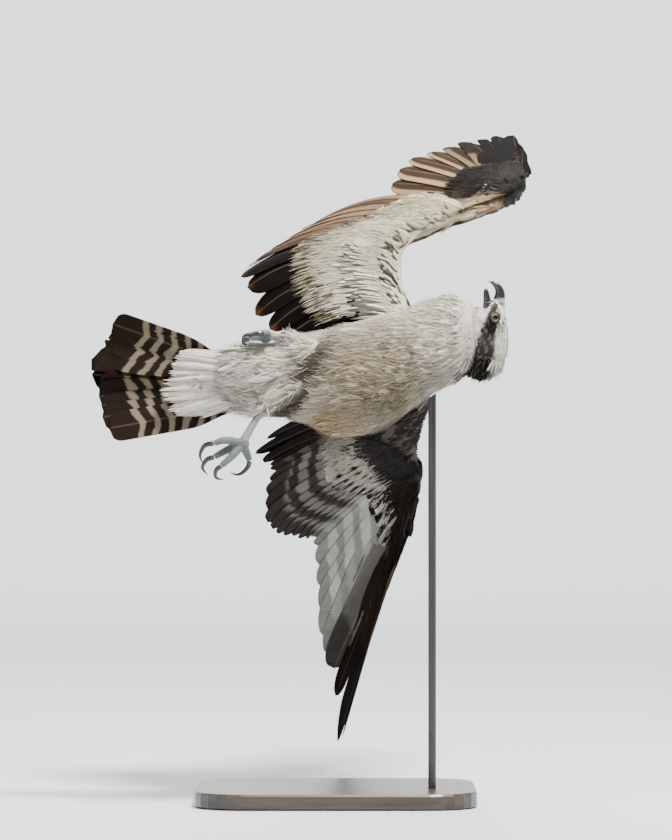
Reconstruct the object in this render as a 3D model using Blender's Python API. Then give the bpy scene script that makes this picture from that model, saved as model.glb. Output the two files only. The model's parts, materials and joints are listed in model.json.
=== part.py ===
"""Osprey in banked flight, life size, held still on a plain display stand.

The bird lies on its side in the air: head towards +X, back towards +Y, right wing up.
Lengths are in millimetres until a mesh is made, and the floor is z = 0.
"""

import math
import random

import bmesh
import bpy
import numpy as np
from mathutils import Vector

MM = 0.001

# Overall placing
VIEW_DISTANCE = 6000.0
BODY_HEIGHT = 480.0
BODY_BACK = -30.0

# Gap that neighbouring pieces keep, and the vanes' build
JOINT_GAP = 0.34
LEAST_GAP = 0.26
VANE_GAP = 0.4
VANE_THICKNESS = 0.6
VANE_STEP = 1.25
LEAST_PITCH = 6.0
FANNED_FROM = 0.35
VANE_START = 0.16
COVERT_START = 0.2
NO_BOUNDS = (-99.0, 99.0)
FLIGHT_STATIONS = (0.0, 0.5, 0.9, 1.0)
FLIGHT_WIDTHS = (0.6, 1.0, 0.92, 0.4)
FINGER_WIDTHS = (0.5, 0.84, 0.62, 0.26)
COVERT_STATIONS = (0.0, 0.45, 0.82, 1.0)
COVERT_WIDTHS = (0.7, 1.0, 0.86, 0.34)

# Stand
BASE_LENGTH = 350.0
BASE_WIDTH = 280.0
BASE_THICKNESS = 20.0
BASE_CORNER = 60.0
BASE_CHAMFER = 2.5
ROD_RADIUS = 5.0
ROD_AT = (120.0, -8.0)

# Head and bill
HEAD_TURN_PLANE = 166.0
EYE_RADIUS = 7.6
EYE_AT = (199.0, 128.0)
EYE_DEPTH = 17.5
SOCKET_GAP = 0.8
LID_OUT = 4.6
LID_RADIUS = 7.6
LID_THICKNESS = 1.6

# Counts along each wing, from the body outwards
TERTIALS = 4
SECONDARIES = 12
PRIMARIES = 10
WRIST = TERTIALS + SECONDARIES - 0.5
WRIST_SLIT = 0.025
RECTRICES_A_SIDE = 6
LAST_COVERT = 21
COVERT_SPACING = 3
TERTIAL_WIDTH = 52.0
SECONDARY_WIDTH = 39.0
PRIMARY_WIDTH = 43.0
COVERT_WIDTH = 46.0

FINISHES = {
    "plumage_white": (0.80, 0.77, 0.70),
    "plumage_mottled": (0.55, 0.47, 0.38),
    "plumage_brown": (0.16, 0.11, 0.08),
    "feather_barred": (0.30, 0.25, 0.20),
    "bill_black": (0.03, 0.03, 0.035),
    "eye_yellow": (0.80, 0.55, 0.05),
    "leg_scale": (0.42, 0.46, 0.44),
    "claw_black": (0.02, 0.02, 0.02),
    "stand_black": (0.05, 0.05, 0.055),
}


def seen(x, z, depth):
    """Place that shows at x, z from the body's middle and lies depth behind its plane."""
    spread = 1.0 + depth / VIEW_DISTANCE
    return np.array((x * spread, BODY_BACK + depth, BODY_HEIGHT + z * spread))


def unit(vector):
    """Vector made one long."""
    return vector / np.linalg.norm(vector)


def smooth_through(places, values, u):
    """Value at u on a smooth curve through the values, straight past both ends."""
    places = np.asarray(places, float)
    values = np.asarray(values, float)
    last = len(places) - 1
    slopes = np.empty_like(values)
    gaps = np.diff(places)
    rises = np.diff(values, axis=0) / gaps[:, None]
    slopes[0] = rises[0]
    slopes[last] = rises[-1]
    for k in range(1, last):
        before = gaps[k - 1]
        after = gaps[k]
        slopes[k] = (rises[k - 1] * after + rises[k] * before) / (before + after)
    if u <= places[0]:
        return values[0] + slopes[0] * (u - places[0])
    if u >= places[last]:
        return values[last] + slopes[last] * (u - places[last])
    k = int(np.searchsorted(places, u) - 1)
    run = gaps[k]
    s = (u - places[k]) / run
    start = values[k] * (2 * s**3 - 3 * s**2 + 1) + slopes[k] * run * (s**3 - 2 * s**2 + s)
    end = values[k + 1] * (3 * s**2 - 2 * s**3) + slopes[k + 1] * run * (s**3 - s**2)
    return start + end


def finish(name):
    """The plain material of one finish."""
    material = bpy.data.materials.get(name)
    if material is None:
        material = bpy.data.materials.new(name)
        material.use_nodes = True
        shader = material.node_tree.nodes["Principled BSDF"]
        shader.inputs["Base Color"].default_value = (*FINISHES[name], 1.0)
        shader.inputs["Roughness"].default_value = 0.7
        material.diffuse_color = (*FINISHES[name], 1.0)
    return material


def solid(name, points, faces, finish_name, smooth=True):
    """One closed mesh object from points in millimetres."""
    mesh = bpy.data.meshes.new(name)
    mesh.from_pydata([tuple(c * MM for c in p) for p in points], [], faces)
    shape = bmesh.new()
    shape.from_mesh(mesh)
    bmesh.ops.recalc_face_normals(shape, faces=shape.faces)
    if shape.calc_volume(signed=True) < 0:
        bmesh.ops.reverse_faces(shape, faces=shape.faces)
    for face in shape.faces:
        face.smooth = smooth
    shape.to_mesh(mesh)
    shape.free()
    mesh.materials.append(finish(finish_name))
    piece = bpy.data.objects.new(name, mesh)
    bpy.context.scene.collection.objects.link(piece)
    return piece


def loft(name, rings, finish_name, smooth=True):
    """Closed skin over rings of equal count, with a fan cap at each end."""
    points = [p for ring in rings for p in ring]
    count = len(rings[0])
    faces = []
    for r in range(len(rings) - 1):
        for k in range(count):
            a = r * count + k
            b = r * count + (k + 1) % count
            faces.append((a, b, b + count))
            faces.append((a, b + count, a + count))
    for first, ring in ((0, rings[0]), ((len(rings) - 1) * count, rings[-1])):
        middle = len(points)
        points.append(np.mean(ring, axis=0))
        faces += [(first + k, first + (k + 1) % count, middle) for k in range(count)]
    return solid(name, points, faces, finish_name, smooth)


def tube(name, path, radii, finish_name, sides=10, flat=1.0, side=(0.0, 1.0, 0.0)):
    """Round or flattened bar along a path, with a radius at each place."""
    path = [np.asarray(p, float) for p in path]
    rings = []
    for k, place in enumerate(path):
        ahead = path[min(k + 1, len(path) - 1)] - path[max(k - 1, 0)]
        along = unit(ahead)
        across = unit(np.asarray(side) - along * np.dot(side, along))
        up = np.cross(along, across)
        turns = [2 * math.pi * n / sides for n in range(sides)]
        rings.append([
            place + radii[k] * (math.cos(a) * across * flat + math.sin(a) * up) for a in turns
        ])
    return loft(name, rings, finish_name)


def ball(name, centre, radii, finish_name, rows=8, sides=14):
    """Ellipsoid of given half sizes."""
    centre = np.asarray(centre, float)
    rings = []
    for r in range(1, rows):
        polar = math.pi * r / rows
        rings.append([
            centre + np.array((
                radii[0] * math.sin(polar) * math.cos(2 * math.pi * k / sides),
                radii[1] * math.sin(polar) * math.sin(2 * math.pi * k / sides),
                radii[2] * math.cos(polar),
            ))
            for k in range(sides)
        ])
    piece = loft(name, rings, finish_name)
    for vertex in piece.data.vertices[-2:]:
        pole = 1.0 if vertex.co.z / MM > centre[2] else -1.0
        vertex.co.z = (centre[2] + pole * radii[2]) * MM
    return piece


def remove(piece):
    """Take one object and its mesh out of the file."""
    mesh = piece.data
    bpy.data.objects.remove(piece)
    bpy.data.meshes.remove(mesh)


def applied(piece, modifier_kind, **settings):
    """The object with one modifier made final."""
    modifier = piece.modifiers.new("step", modifier_kind)
    for key, value in settings.items():
        setattr(modifier, key, value)
    graph = bpy.context.evaluated_depsgraph_get()
    finished = bpy.data.meshes.new_from_object(piece.evaluated_get(graph))
    piece.modifiers.clear()
    old = piece.data
    piece.data = finished
    bpy.data.meshes.remove(old)
    return piece


def largest_surface(piece):
    """Keep only the largest closed surface of a mesh, and one material on it."""
    shape = bmesh.new()
    shape.from_mesh(piece.data)
    bmesh.ops.triangulate(shape, faces=shape.faces)
    shape.faces.ensure_lookup_table()
    waiting = set(shape.faces)
    groups = []
    while waiting:
        start = waiting.pop()
        group = [start]
        front = [start]
        while front:
            face = front.pop()
            for edge in face.edges:
                if len(edge.link_faces) != 2:
                    continue
                for other in edge.link_faces:
                    if other in waiting:
                        waiting.discard(other)
                        group.append(other)
                        front.append(other)
        groups.append(group)

    def bulk(group):
        return sum(f.calc_area() for f in group)

    groups.sort(key=bulk)
    loose = [face for group in groups[:-1] for face in group]
    bmesh.ops.delete(shape, geom=loose, context="FACES")
    for face in shape.faces:
        face.material_index = 0
    shape.to_mesh(piece.data)
    shape.free()
    return piece


def joined(name, pieces):
    """One closed node from overlapping closed pieces."""
    base = pieces[0]
    rest = pieces[1:]
    if rest:
        group = bpy.data.collections.new(name + "_pieces")
        bpy.context.scene.collection.children.link(group)
        for piece in rest:
            group.objects.link(piece)
        applied(
            base, "BOOLEAN", operation="UNION", operand_type="COLLECTION",
            collection=group, solver="MANIFOLD",
        )
        for piece in rest:
            remove(piece)
        bpy.data.collections.remove(group)
    base.name = name
    base.data.name = name
    keep = base.data.materials[0]
    base.data.materials.clear()
    base.data.materials.append(keep)
    return largest_surface(base)


def grown(piece, gap=JOINT_GAP):
    """Copy of a closed piece, swollen by the gap."""
    copy = piece.copy()
    copy.data = piece.data.copy()
    bpy.context.scene.collection.objects.link(copy)
    shape = bmesh.new()
    shape.from_mesh(copy.data)
    shape.normal_update()
    moves = [(vertex, vertex.normal.copy()) for vertex in shape.verts]
    for vertex, normal in moves:
        sharpness = max(0.5, min(1.0, vertex.calc_shell_factor() ** -1))
        vertex.co += normal * (gap * MM / sharpness)
    shape.to_mesh(copy.data)
    shape.free()
    return copy


def cut_clear(piece, neighbours, gap=JOINT_GAP):
    """Cut a piece back so that it meets its neighbours with the gap between."""
    if not neighbours:
        return piece
    for neighbour in neighbours:
        cutter = grown(neighbour, gap)
        applied(piece, "BOOLEAN", operation="DIFFERENCE", object=cutter, solver="MANIFOLD")
        remove(cutter)
    return largest_surface(piece)


def box(piece):
    """Least and greatest corner of a piece, in millimetres."""
    corners = np.array([v.co[:] for v in piece.data.vertices]) / MM
    return corners.min(axis=0), corners.max(axis=0)


def meet(nodes):
    """Cut each node back from the nodes before it, wherever they would touch."""
    for k, node in enumerate(nodes):
        least, most = box(node)
        near = []
        for other in nodes[:k]:
            other_least, other_most = box(other)
            if np.all(least - LEAST_GAP < other_most) and np.all(other_least < most + LEAST_GAP):
                near.append(other)
        cut_clear(node, near, LEAST_GAP)


def cut_with(piece, cutter):
    """Take one cutter out of a piece."""
    applied(piece, "BOOLEAN", operation="DIFFERENCE", object=cutter, solver="MANIFOLD")
    remove(cutter)
    return largest_surface(piece)


def halved(piece, place, normal):
    """Keep the side of a plane that its normal points away from, closed flat."""
    shape = bmesh.new()
    shape.from_mesh(piece.data)
    result = bmesh.ops.bisect_plane(
        shape, geom=shape.verts[:] + shape.edges[:] + shape.faces[:],
        plane_co=Vector(place) * MM, plane_no=Vector(normal), clear_outer=True,
    )
    rim = [e for e in result["geom_cut"] if isinstance(e, bmesh.types.BMEdge)]
    bmesh.ops.holes_fill(shape, edges=rim)
    bmesh.ops.triangulate(shape, faces=shape.faces)
    bmesh.ops.recalc_face_normals(shape, faces=shape.faces)
    shape.to_mesh(piece.data)
    shape.free()
    return piece


class Sheet:
    """The curved surface that one row of feathers shares.

    u counts feathers along the row, and t runs from a feather's root (0) to its tip (1).
    """

    def __init__(self, keys, bow):
        self.places = [key[0] for key in keys]
        self.values = [
            np.concatenate((seen(*key[1]), seen(*key[2]), seen(*key[3]))) for key in keys
        ]
        self.bow = np.asarray(bow, float)
        self.outward = 1.0
        middle = 0.5 * (self.places[0] + self.places[-1])
        if self.normal(middle, 0.5)[1] > 0:
            self.outward = -1.0

    def row(self, u):
        """Leading edge, root and tip at u."""
        value = smooth_through(self.places, self.values, u)
        return value[0:3], value[3:6], value[6:9]

    def place(self, u, t):
        """Point of the surface."""
        root, tip = self.row(u)[1:]
        return root + (tip - root) * t + self.bow * 4 * t * (1 - t)

    def slopes(self, u, t):
        """Rates of change along u and along t."""
        du = 0.05
        dt = 0.01
        along_u = (self.place(u + du, t) - self.place(u - du, t)) / (2 * du)
        along_t = (self.place(u, t + dt) - self.place(u, t - dt)) / (2 * dt)
        return along_u, along_t

    def normal(self, u, t):
        """Direction out of the underside, taken where the row has fanned out."""
        along_u, along_t = self.slopes(u, max(t, FANNED_FROM))
        return self.outward * unit(np.cross(along_u, along_t))

    def beside(self, u, t, reach, bounds):
        """Surface place reach to the side of a feather's shaft, square to it."""
        along_u, along_t = self.slopes(u, t)
        length = np.linalg.norm(along_t)
        shaft = along_t / length
        lean = float(np.dot(along_u, shaft))
        pitch = max(np.linalg.norm(along_u - lean * shaft), LEAST_PITCH)
        side = min(max(u + reach / pitch, bounds[0]), bounds[1]) - u
        return u + side, t - lean * side / length

    def vane(self, name, u, width, finish_name, start=0.0, end=1.0, lift=(0.0, 0.0),
             stations=FLIGHT_STATIONS, widths=FLIGHT_WIDTHS, step=VANE_STEP,
             bounds=NO_BOUNDS):
        """One flat, tapered feather that follows the surface and shingles on the next."""
        rings = []
        for s, share in zip(stations, widths):
            t = start + (end - start) * s
            rise = lift[0] + (lift[1] - lift[0]) * s
            ring = []
            for reach in (-0.5 * width * share, 0.5 * width * share):
                side_u, side_t = self.beside(u, t, reach, bounds)
                normal = self.normal(side_u, side_t)
                level = rise + step * (u - side_u)
                middle = self.place(side_u, side_t) + normal * level
                ring.append(middle + normal * 0.5 * VANE_THICKNESS)
                ring.append(middle - normal * 0.5 * VANE_THICKNESS)
            rings.append([ring[0], ring[2], ring[3], ring[1]])
        return thin_plate(name, rings, finish_name)

    def core(self, name, starts, cover, bulk, finish_name):
        """Flesh and close feathers from the leading edge to part way down the vanes."""
        rings = []
        for u in starts:
            lead, root, _ = self.row(u)
            normal = self.normal(u, 0.02)
            thick = bulk(u)
            forward = lead + (root - lead) * 0.45
            inner = self.place(u, cover * 0.45)
            end = self.place(u, cover)
            nose = unit(lead - root) * 1.5
            rings.append([
                lead + nose,
                forward + normal * thick * 0.8,
                root + normal * thick,
                inner + normal * thick * 0.75,
                end + normal * 1.6,
                end - normal * 1.6,
                inner - normal * thick * 0.55,
                root - normal * thick * 0.85,
                forward - normal * thick * 0.7,
            ])
        return loft(name, rings, finish_name)


def thin_plate(name, rings, finish_name):
    """Closed plate over four-cornered rings, split alike on both faces."""
    points = [p for ring in rings for p in ring]
    faces = []
    for r in range(len(rings) - 1):
        a = 4 * r
        b = a + 4
        faces += [(a, a + 1, b + 1), (a, b + 1, b)]
        faces += [(a + 3, b + 2, a + 2), (a + 3, b + 3, b + 2)]
        faces += [(a + 1, a + 2, b + 2), (a + 1, b + 2, b + 1)]
        faces += [(a + 3, a, b), (a + 3, b, b + 3)]
    last = 4 * (len(rings) - 1)
    faces += [(0, 3, 2), (0, 2, 1)]
    faces += [(last, last + 1, last + 2), (last, last + 2, last + 3)]
    return solid(name, points, faces, finish_name, smooth=False)


def lock(name, root, tip, width, bend, finish_name, face=(0.0, -1.0, 0.0)):
    """Flat tapered tuft of body feathers from root to tip, bent along its way."""
    root = np.asarray(root, float)
    tip = np.asarray(tip, float)
    along = unit(tip - root)
    across = unit(np.cross(along, np.asarray(face, float)))
    normal = np.cross(across, along)
    rings = []
    for t, share in ((0.0, 0.8), (0.4, 1.0), (0.75, 0.7), (1.0, 0.12)):
        middle = root + (tip - root) * t + np.asarray(bend, float) * t * t
        side = across * 0.5 * width * share
        half = normal * (1.4 - 1.1 * t)
        rings.append([middle - side + half, middle + side + half,
                      middle + side - half, middle - side - half])
    return thin_plate(name, rings, finish_name)


# Right wing: u, leading edge, feather root and feather tip, each as (x, z, depth)
RIGHT_INNER_KEYS = (
    (-2.0, (104, 112, 0), (84, 100, 10), (-50, 84, 52)),
    (0.0, (97, 146, 38), (64, 148, 62), (-84, 112, 108)),
    (1.0, (86, 170, 68), (60, 169, 95), (-101, 131, 145)),
    (2.0, (85, 196, 100), (59, 190, 120), (-114, 163, 189)),
    (3.0, (90, 215, 120), (60, 206, 138), (-121, 178, 222)),
    (4.0, (104, 229, 130), (66, 216, 145), (-118, 184, 262)),
    (8.0, (133, 242, 136), (115, 238, 148), (-84, 210, 300)),
    (11.0, (160, 251, 140), (152, 256, 150), (-44, 237, 322)),
    (12.0, (172, 254, 141), (165, 261, 151), (-28, 247, 328)),
)
RIGHT_OUTER_KEYS = (
    (12.0, (176, 252, 138), (167, 258, 146), (14, 214, 196)),
    (13.0, (188, 256, 139), (184, 264, 147), (40, 234, 218)),
    (14.0, (200, 259, 140), (200, 271, 148), (58, 254, 240)),
    (15.0, (212, 262, 142), (215, 277, 150), (64, 275, 263)),
    (16.0, (222, 264, 150), (222, 282, 158), (70, 296, 290)),
    (18.0, (231, 271, 168), (225, 287, 176), (96, 328, 346)),
    (20.0, (236, 280, 188), (227, 291, 196), (148, 342, 425)),
    (22.0, (238, 290, 208), (229, 295, 214), (188, 351, 535)),
    (23.0, (239, 295, 220), (230, 298, 222), (202, 355, 590)),
    (24.0, (240, 300, 232), (231, 300, 230), (222, 356, 590)),
    (25.0, (240, 304, 242), (232, 302, 238), (234, 340, 545)),
)

# Left wing: one surface from the body to the tip
LEFT_KEYS = (
    (-2.0, (112, 42, 0), (86, 46, 8), (-58, 0, 40)),
    (0.0, (124, 18, 55), (69, 26, 63), (-104, -44, 128)),
    (1.0, (118, 2, 100), (62, 12, 96), (-93, -55, 166)),
    (2.0, (114, -12, 145), (56, -1, 128), (-81, -58, 210)),
    (3.0, (111, -22, 180), (51, -12, 155), (-76, -64, 236)),
    (4.0, (109, -29, 205), (54, -18, 168), (-82, -76, 262)),
    (6.0, (108, -36, 235), (62, -25, 196), (-88, -114, 302)),
    (8.0, (107, -43, 262), (71, -33, 223), (-81, -138, 337)),
    (10.0, (106, -50, 288), (80, -40, 251), (-65, -146, 376)),
    (12.0, (105, -56, 308), (89, -47, 279), (-45, -149, 419)),
    (15.0, (107, -68, 330), (104, -58, 318), (-22, -160, 480)),
    (16.0, (107, -77, 337), (104, -66, 330), (-21, -186, 504)),
    (19.0, (104, -98, 352), (101, -86, 350), (-12, -274, 566)),
    (21.0, (101, -111, 366), (98, -99, 362), (-4, -314, 616)),
    (22.0, (99, -118, 373), (96, -106, 368), (-1, -346, 636)),
    (23.0, (97, -125, 379), (94, -113, 373), (2, -402, 634)),
    (24.0, (95, -132, 385), (93, -120, 378), (8, -396, 600)),
    (25.0, (93, -139, 391), (91, -127, 384), (20, -350, 538)),
)

# Tail: centre to edge on each side
TAIL_RIGHT_KEYS = (
    (-1.5, (-104, 44, 10), (-112, 44, 10), (-305, 57, 13)),
    (0.0, (-104, 48, 10), (-112, 48, 10), (-309, 75, 12)),
    (1.0, (-104, 51, 10), (-112, 51, 10), (-288, 90, 11)),
    (3.0, (-104, 56, 9), (-112, 56, 9), (-288, 104, 7)),
    (5.0, (-104, 61, 7), (-112, 61, 7), (-282, 121, 0)),
)
TAIL_LEFT_KEYS = (
    (-1.5, (-104, 47, 18), (-112, 47, 18), (-303, 76, 22)),
    (0.0, (-104, 43, 18), (-112, 43, 18), (-307, 57, 21)),
    (1.0, (-104, 38, 18), (-112, 38, 18), (-301, 42, 20)),
    (3.0, (-104, 30, 17), (-112, 30, 17), (-297, 18, 17)),
    (5.0, (-104, 20, 15), (-112, 20, 15), (-288, -11, 10)),
)

# Torso and neck rings along the body: x, z, half width (z), half depth (y), depth
BODY_RINGS = (
    (-146, 50, 26, 20, 6), (-132, 50, 38, 28, 6), (-112, 51, 45, 36, 4), (-86, 51, 49, 44, 2),
    (-56, 51, 54, 51, 0), (-26, 51, 62, 56, -1), (4, 50, 71, 60, -2), (34, 54, 76, 62, -2),
    (62, 62, 76, 62, -2), (88, 74, 70, 60, -1), (108, 86, 65, 56, 0), (128, 95, 62, 51, 0),
    (146, 101, 59, 48, 0), (160, 104, 54, 44, 0), (170, 105, 47, 38, 0),
)
NECK_PLANE = 118.0

# Tips of the ruffled feathers round the vent, above and below
VENT_TIPS_ABOVE = ((-155, 96), (-142, 106), (-136, 114), (-124, 114), (-112, 106), (-96, 104))
VENT_TIPS_BELOW = ((-160, 0), (-170, -14), (-170, -24), (-152, -24), (-136, -22), (-122, -14))
# Tips of the long white feathers under the tail: x, z
UNDERTAIL_TIPS = ((-222, 34), (-210, 46), (-206, 20), (-196, 8), (-192, 62), (-176, -4), (-180, 76))
BODY_SIDES = 20


def body_blank(name, finish_name):
    """Torso and neck in one smooth piece, before they are parted."""
    rings = []
    for x, z, half_z, half_y, depth in BODY_RINGS:
        rings.append([
            seen(x, z, depth) + np.array((
                0.0,
                half_y * math.cos(2 * math.pi * k / BODY_SIDES),
                half_z * math.sin(2 * math.pi * k / BODY_SIDES),
            ))
            for k in range(BODY_SIDES)
        ])
    return loft(name, rings, finish_name)


def build_torso():
    """Breast, belly and back, with ruffled vent feathers."""
    blank = halved(body_blank("torso", "plumage_mottled"), (NECK_PLANE, 0, 0), (1, 0, 0))
    locks = []
    for x, z in VENT_TIPS_ABOVE:
        root = seen(x + 48, 78, -14)
        locks.append(lock("vent", root, seen(x, z, -16), 15, (-4, 0, 3), "plumage_white"))
    for x, z in VENT_TIPS_BELOW:
        root = seen(-92, 0.3 * z + 22, -14)
        locks.append(lock("vent", root, seen(x, z, -18), 18, (-3, 0, -4), "plumage_white"))
    for x, z in UNDERTAIL_TIPS:
        root = seen(-104, 0.45 * z + 28, -16)
        locks.append(lock("undertail", root, seen(x, z, -4), 22, (0, 2, 0), "plumage_white"))
    return joined("torso", [blank] + locks)


def build_neck():
    """Neck from the breast to the head."""
    blank = halved(body_blank("neck", "plumage_white"), (NECK_PLANE + JOINT_GAP, 0, 0),
                   (-1, 0, 0))
    return halved(blank, (HEAD_TURN_PLANE - JOINT_GAP, 0, 0), (1, 0, 0))


def build_head():
    """Head turned square to the body: crown to +X, bill up, with sockets and lids."""
    profile = (
        (58, 184, 9, 11), (62, 185, 17, 18), (70, 187, 23, 24), (82, 189, 27, 28),
        (98, 190, 28, 28), (114, 191, 26, 26), (128, 194, 21, 22), (138, 198, 15, 16),
        (146, 201, 11, 11), (151, 202, 9, 9),
    )
    rings = []
    for z, x, half_x, half_y in profile:
        rings.append([
            seen(x, z, 0) + np.array((
                half_x * math.cos(2 * math.pi * k / 18),
                half_y * math.sin(2 * math.pi * k / 18),
                0.0,
            ))
            for k in range(18)
        ])
    skull = loft("head", rings, "plumage_white")
    throat = ball("throat", seen(170, 112, 0), (20, 25, 38), "plumage_white")
    pieces = [skull, throat]
    for side in (-1, 1):
        brow = tube(
            "brow",
            [seen(206, 116, side * (EYE_DEPTH + 3)), seen(208, 126, side * (EYE_DEPTH + 3)),
             seen(207, 136, side * (EYE_DEPTH - 1))],
            (2.0, 3.4, 1.8), "plumage_white", sides=8,
        )
        pieces.append(brow)
        rim = [
            seen(*EYE_AT, side * (EYE_DEPTH + LID_OUT))
            + LID_RADIUS * np.array((math.cos(a), 0.0, math.sin(a)))
            for a in (2 * math.pi * n / 10 for n in range(11))
        ]
        pieces.append(tube("lid", rim[:7], [LID_THICKNESS] * 7, "plumage_white", sides=4))
        pieces.append(tube("lid", rim[5:], [LID_THICKNESS] * 6, "plumage_white", sides=4))
    draw = random.Random(9)
    for k in range(9):
        x = 170 + 3.4 * k
        root = seen(x, 74 - 0.4 * k, draw.uniform(-12, 12))
        tip = seen(x + 3, 55 + draw.uniform(-4, 4), draw.uniform(-12, 8))
        pieces.append(lock("nape", root, tip, 8, (0, 0, -3), "plumage_brown"))
    head = joined("head", pieces)
    halved(head, (HEAD_TURN_PLANE, 0, 0), (-1, 0, 0))
    for side in (-1, 1):
        socket = ball("socket", seen(*EYE_AT, side * EYE_DEPTH),
                      [EYE_RADIUS + SOCKET_GAP] * 3, "plumage_white", rows=7, sides=10)
        cut_with(head, socket)
    return head


def build_eye(name, side):
    """One eyeball in its socket."""
    return ball(name, seen(*EYE_AT, side * EYE_DEPTH), [EYE_RADIUS] * 3, "eye_yellow",
                rows=7, sides=12)


def build_bill_upper():
    """Hooked upper bill with its cere, nostrils and cutting edge."""
    path = [seen(203, 140, 0), seen(204, 150, 0), seen(205, 158, 0), seen(203, 165, 0),
            seen(199, 169.5, 0), seen(195, 172, 0), seen(191, 173, 0)]
    bill = tube("bill_upper", path, (8.6, 7.8, 6.6, 5.2, 3.8, 2.2, 0.7), "bill_black",
                sides=12, flat=0.9)
    for side in (-1, 1):
        nostril = ball("nostril", seen(206, 151, side * 6.8), (1.3, 1.6, 2.6), "bill_black",
                       rows=6, sides=8)
        cut_with(bill, nostril)
    return bill


def build_bill_lower():
    """Lower bill, a little open."""
    path = [seen(189, 139, 0), seen(189, 148, 0), seen(188, 156, 0), seen(187.5, 162, 0),
            seen(188, 165.5, 0)]
    return tube("bill_lower", path, (6.4, 5.4, 4.3, 3.0, 1.2), "bill_black", sides=10,
                flat=1.15)


def flight_width(u):
    """Full width of the flight feather at u."""
    if u < TERTIALS:
        return TERTIAL_WIDTH
    if TERTIALS + SECONDARIES <= u < TERTIALS + SECONDARIES + 6:
        return PRIMARY_WIDTH
    return SECONDARY_WIDTH


def vane_row(sheet, first, last, bounds, inner_finish):
    """Flight feathers first to last on a surface, with their covert rows."""
    pieces = []
    draw = random.Random(int(31 * first + last))
    for u in range(first, last + 1):
        finger = u >= TERTIALS + SECONDARIES + 6
        widths = FINGER_WIDTHS if finger else FLIGHT_WIDTHS
        pieces.append(sheet.vane(
            "vane", u, flight_width(u), inner_finish, start=VANE_START,
            end=draw.uniform(0.985, 1.0), widths=widths, bounds=bounds,
        ))
    return pieces


def covert_row(sheet, first, last, bounds, reach, finish_name):
    """Greater coverts over and under the flight feathers first to last."""
    pieces = []
    draw = random.Random(int(17 * first + last))
    for u in range(first, min(last, LAST_COVERT) + 1, COVERT_SPACING):
        for side in (1.0, -1.0):
            end = reach(u) * draw.uniform(0.94, 1.04)
            pieces.append(sheet.vane(
                "covert", u + 0.5, COVERT_WIDTH, finish_name, start=COVERT_START, end=end,
                lift=(side * 4.0, side * 4.4), stations=COVERT_STATIONS,
                widths=COVERT_WIDTHS, step=0.8, bounds=bounds,
            ))
    return pieces


def arm_bulk(u):
    """Half thickness of the arm at u: upper arm, forearm, then wrist."""
    return float(np.interp(u, (-2, 0, 3, 8, 15, 16), (20, 17, 12, 8.5, 8, 8)))


def hand_bulk(u):
    """Half thickness of the hand at u."""
    return float(np.interp(u, (15, 20, 25, 27), (8, 6, 3.6, 1.6)))


def covert_reach(u):
    """Share of the flight feather that its greater covert hides."""
    return float(np.interp(u, (0, 4, 15, 20, 25), (0.5, 0.5, 0.46, 0.36, 0.26)))


def even_steps(first, last, count):
    """Count places from first to last, evenly spread."""
    return [first + (last - first) * k / (count - 1) for k in range(count)]


def build_wing(name, arm_rows, hand_sheet):
    """One wing as two nodes that meet at the wrist.

    Each arm row holds its sheet, the stretch of its core and its first and last feather.
    """
    first_primary = TERTIALS + SECONDARIES
    last_primary = first_primary + PRIMARIES - 1
    inside = (NO_BOUNDS[0], WRIST - WRIST_SLIT)
    outside = (WRIST + WRIST_SLIT, NO_BOUNDS[1])
    arm_pieces = []
    for sheet, start, end, first, last in arm_rows:
        rings = even_steps(start, min(end, inside[1]), max(4, int(0.7 * (end - start))))
        arm_pieces.append(sheet.core("core", rings, 0.4, arm_bulk, "plumage_white"))
        arm_pieces += vane_row(sheet, first, last, inside, "feather_barred")
        arm_pieces += covert_row(sheet, first, last, inside, covert_reach, "plumage_white")
    rings = even_steps(outside[0], last_primary + 1, 8)
    hand_pieces = [hand_sheet.core("core", rings, 0.3, hand_bulk, "plumage_brown")]
    hand_pieces += vane_row(hand_sheet, first_primary, last_primary, outside,
                            "feather_barred")
    hand_pieces += covert_row(hand_sheet, first_primary, last_primary, outside,
                              covert_reach, "plumage_brown")
    arm = joined("wing_" + name + "_arm", arm_pieces)
    hand = joined("wing_" + name + "_hand", hand_pieces)
    cut_clear(hand, [arm], VANE_GAP)
    return arm


def build_wings():
    """Both wings: the right one folds in two sheets, the left one is a single sheet."""
    inner = Sheet(RIGHT_INNER_KEYS, bow=(0.0, 10.0, 28.0))
    outer = Sheet(RIGHT_OUTER_KEYS, bow=(0.0, 6.0, 3.0))
    left = Sheet(LEFT_KEYS, bow=(0.0, 8.0, 6.0))
    right_rows = ((inner, -2.0, 12.0, -1, 11), (outer, 12.0, WRIST, 12, 15))
    left_rows = ((left, -2.0, WRIST, -1, 15),)
    return [build_wing("right", right_rows, outer), build_wing("left", left_rows, left)]


def build_tail():
    """Twelve barred tail feathers fanned from one root."""
    right = Sheet(TAIL_RIGHT_KEYS, bow=(0.0, 0.0, 0.0))
    left = Sheet(TAIL_LEFT_KEYS, bow=(0.0, 0.0, 0.0))
    stub = ball("stub", seen(-120, 54, 12), (34, 12, 24), "feather_barred")
    pieces = [stub]
    for k in range(RECTRICES_A_SIDE):
        pieces.append(right.vane("rectrix", k, 36, "feather_barred", step=VANE_STEP))
        pieces.append(left.vane("rectrix", k, 36, "feather_barred", step=VANE_STEP))
    return joined("tail", pieces)


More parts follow.
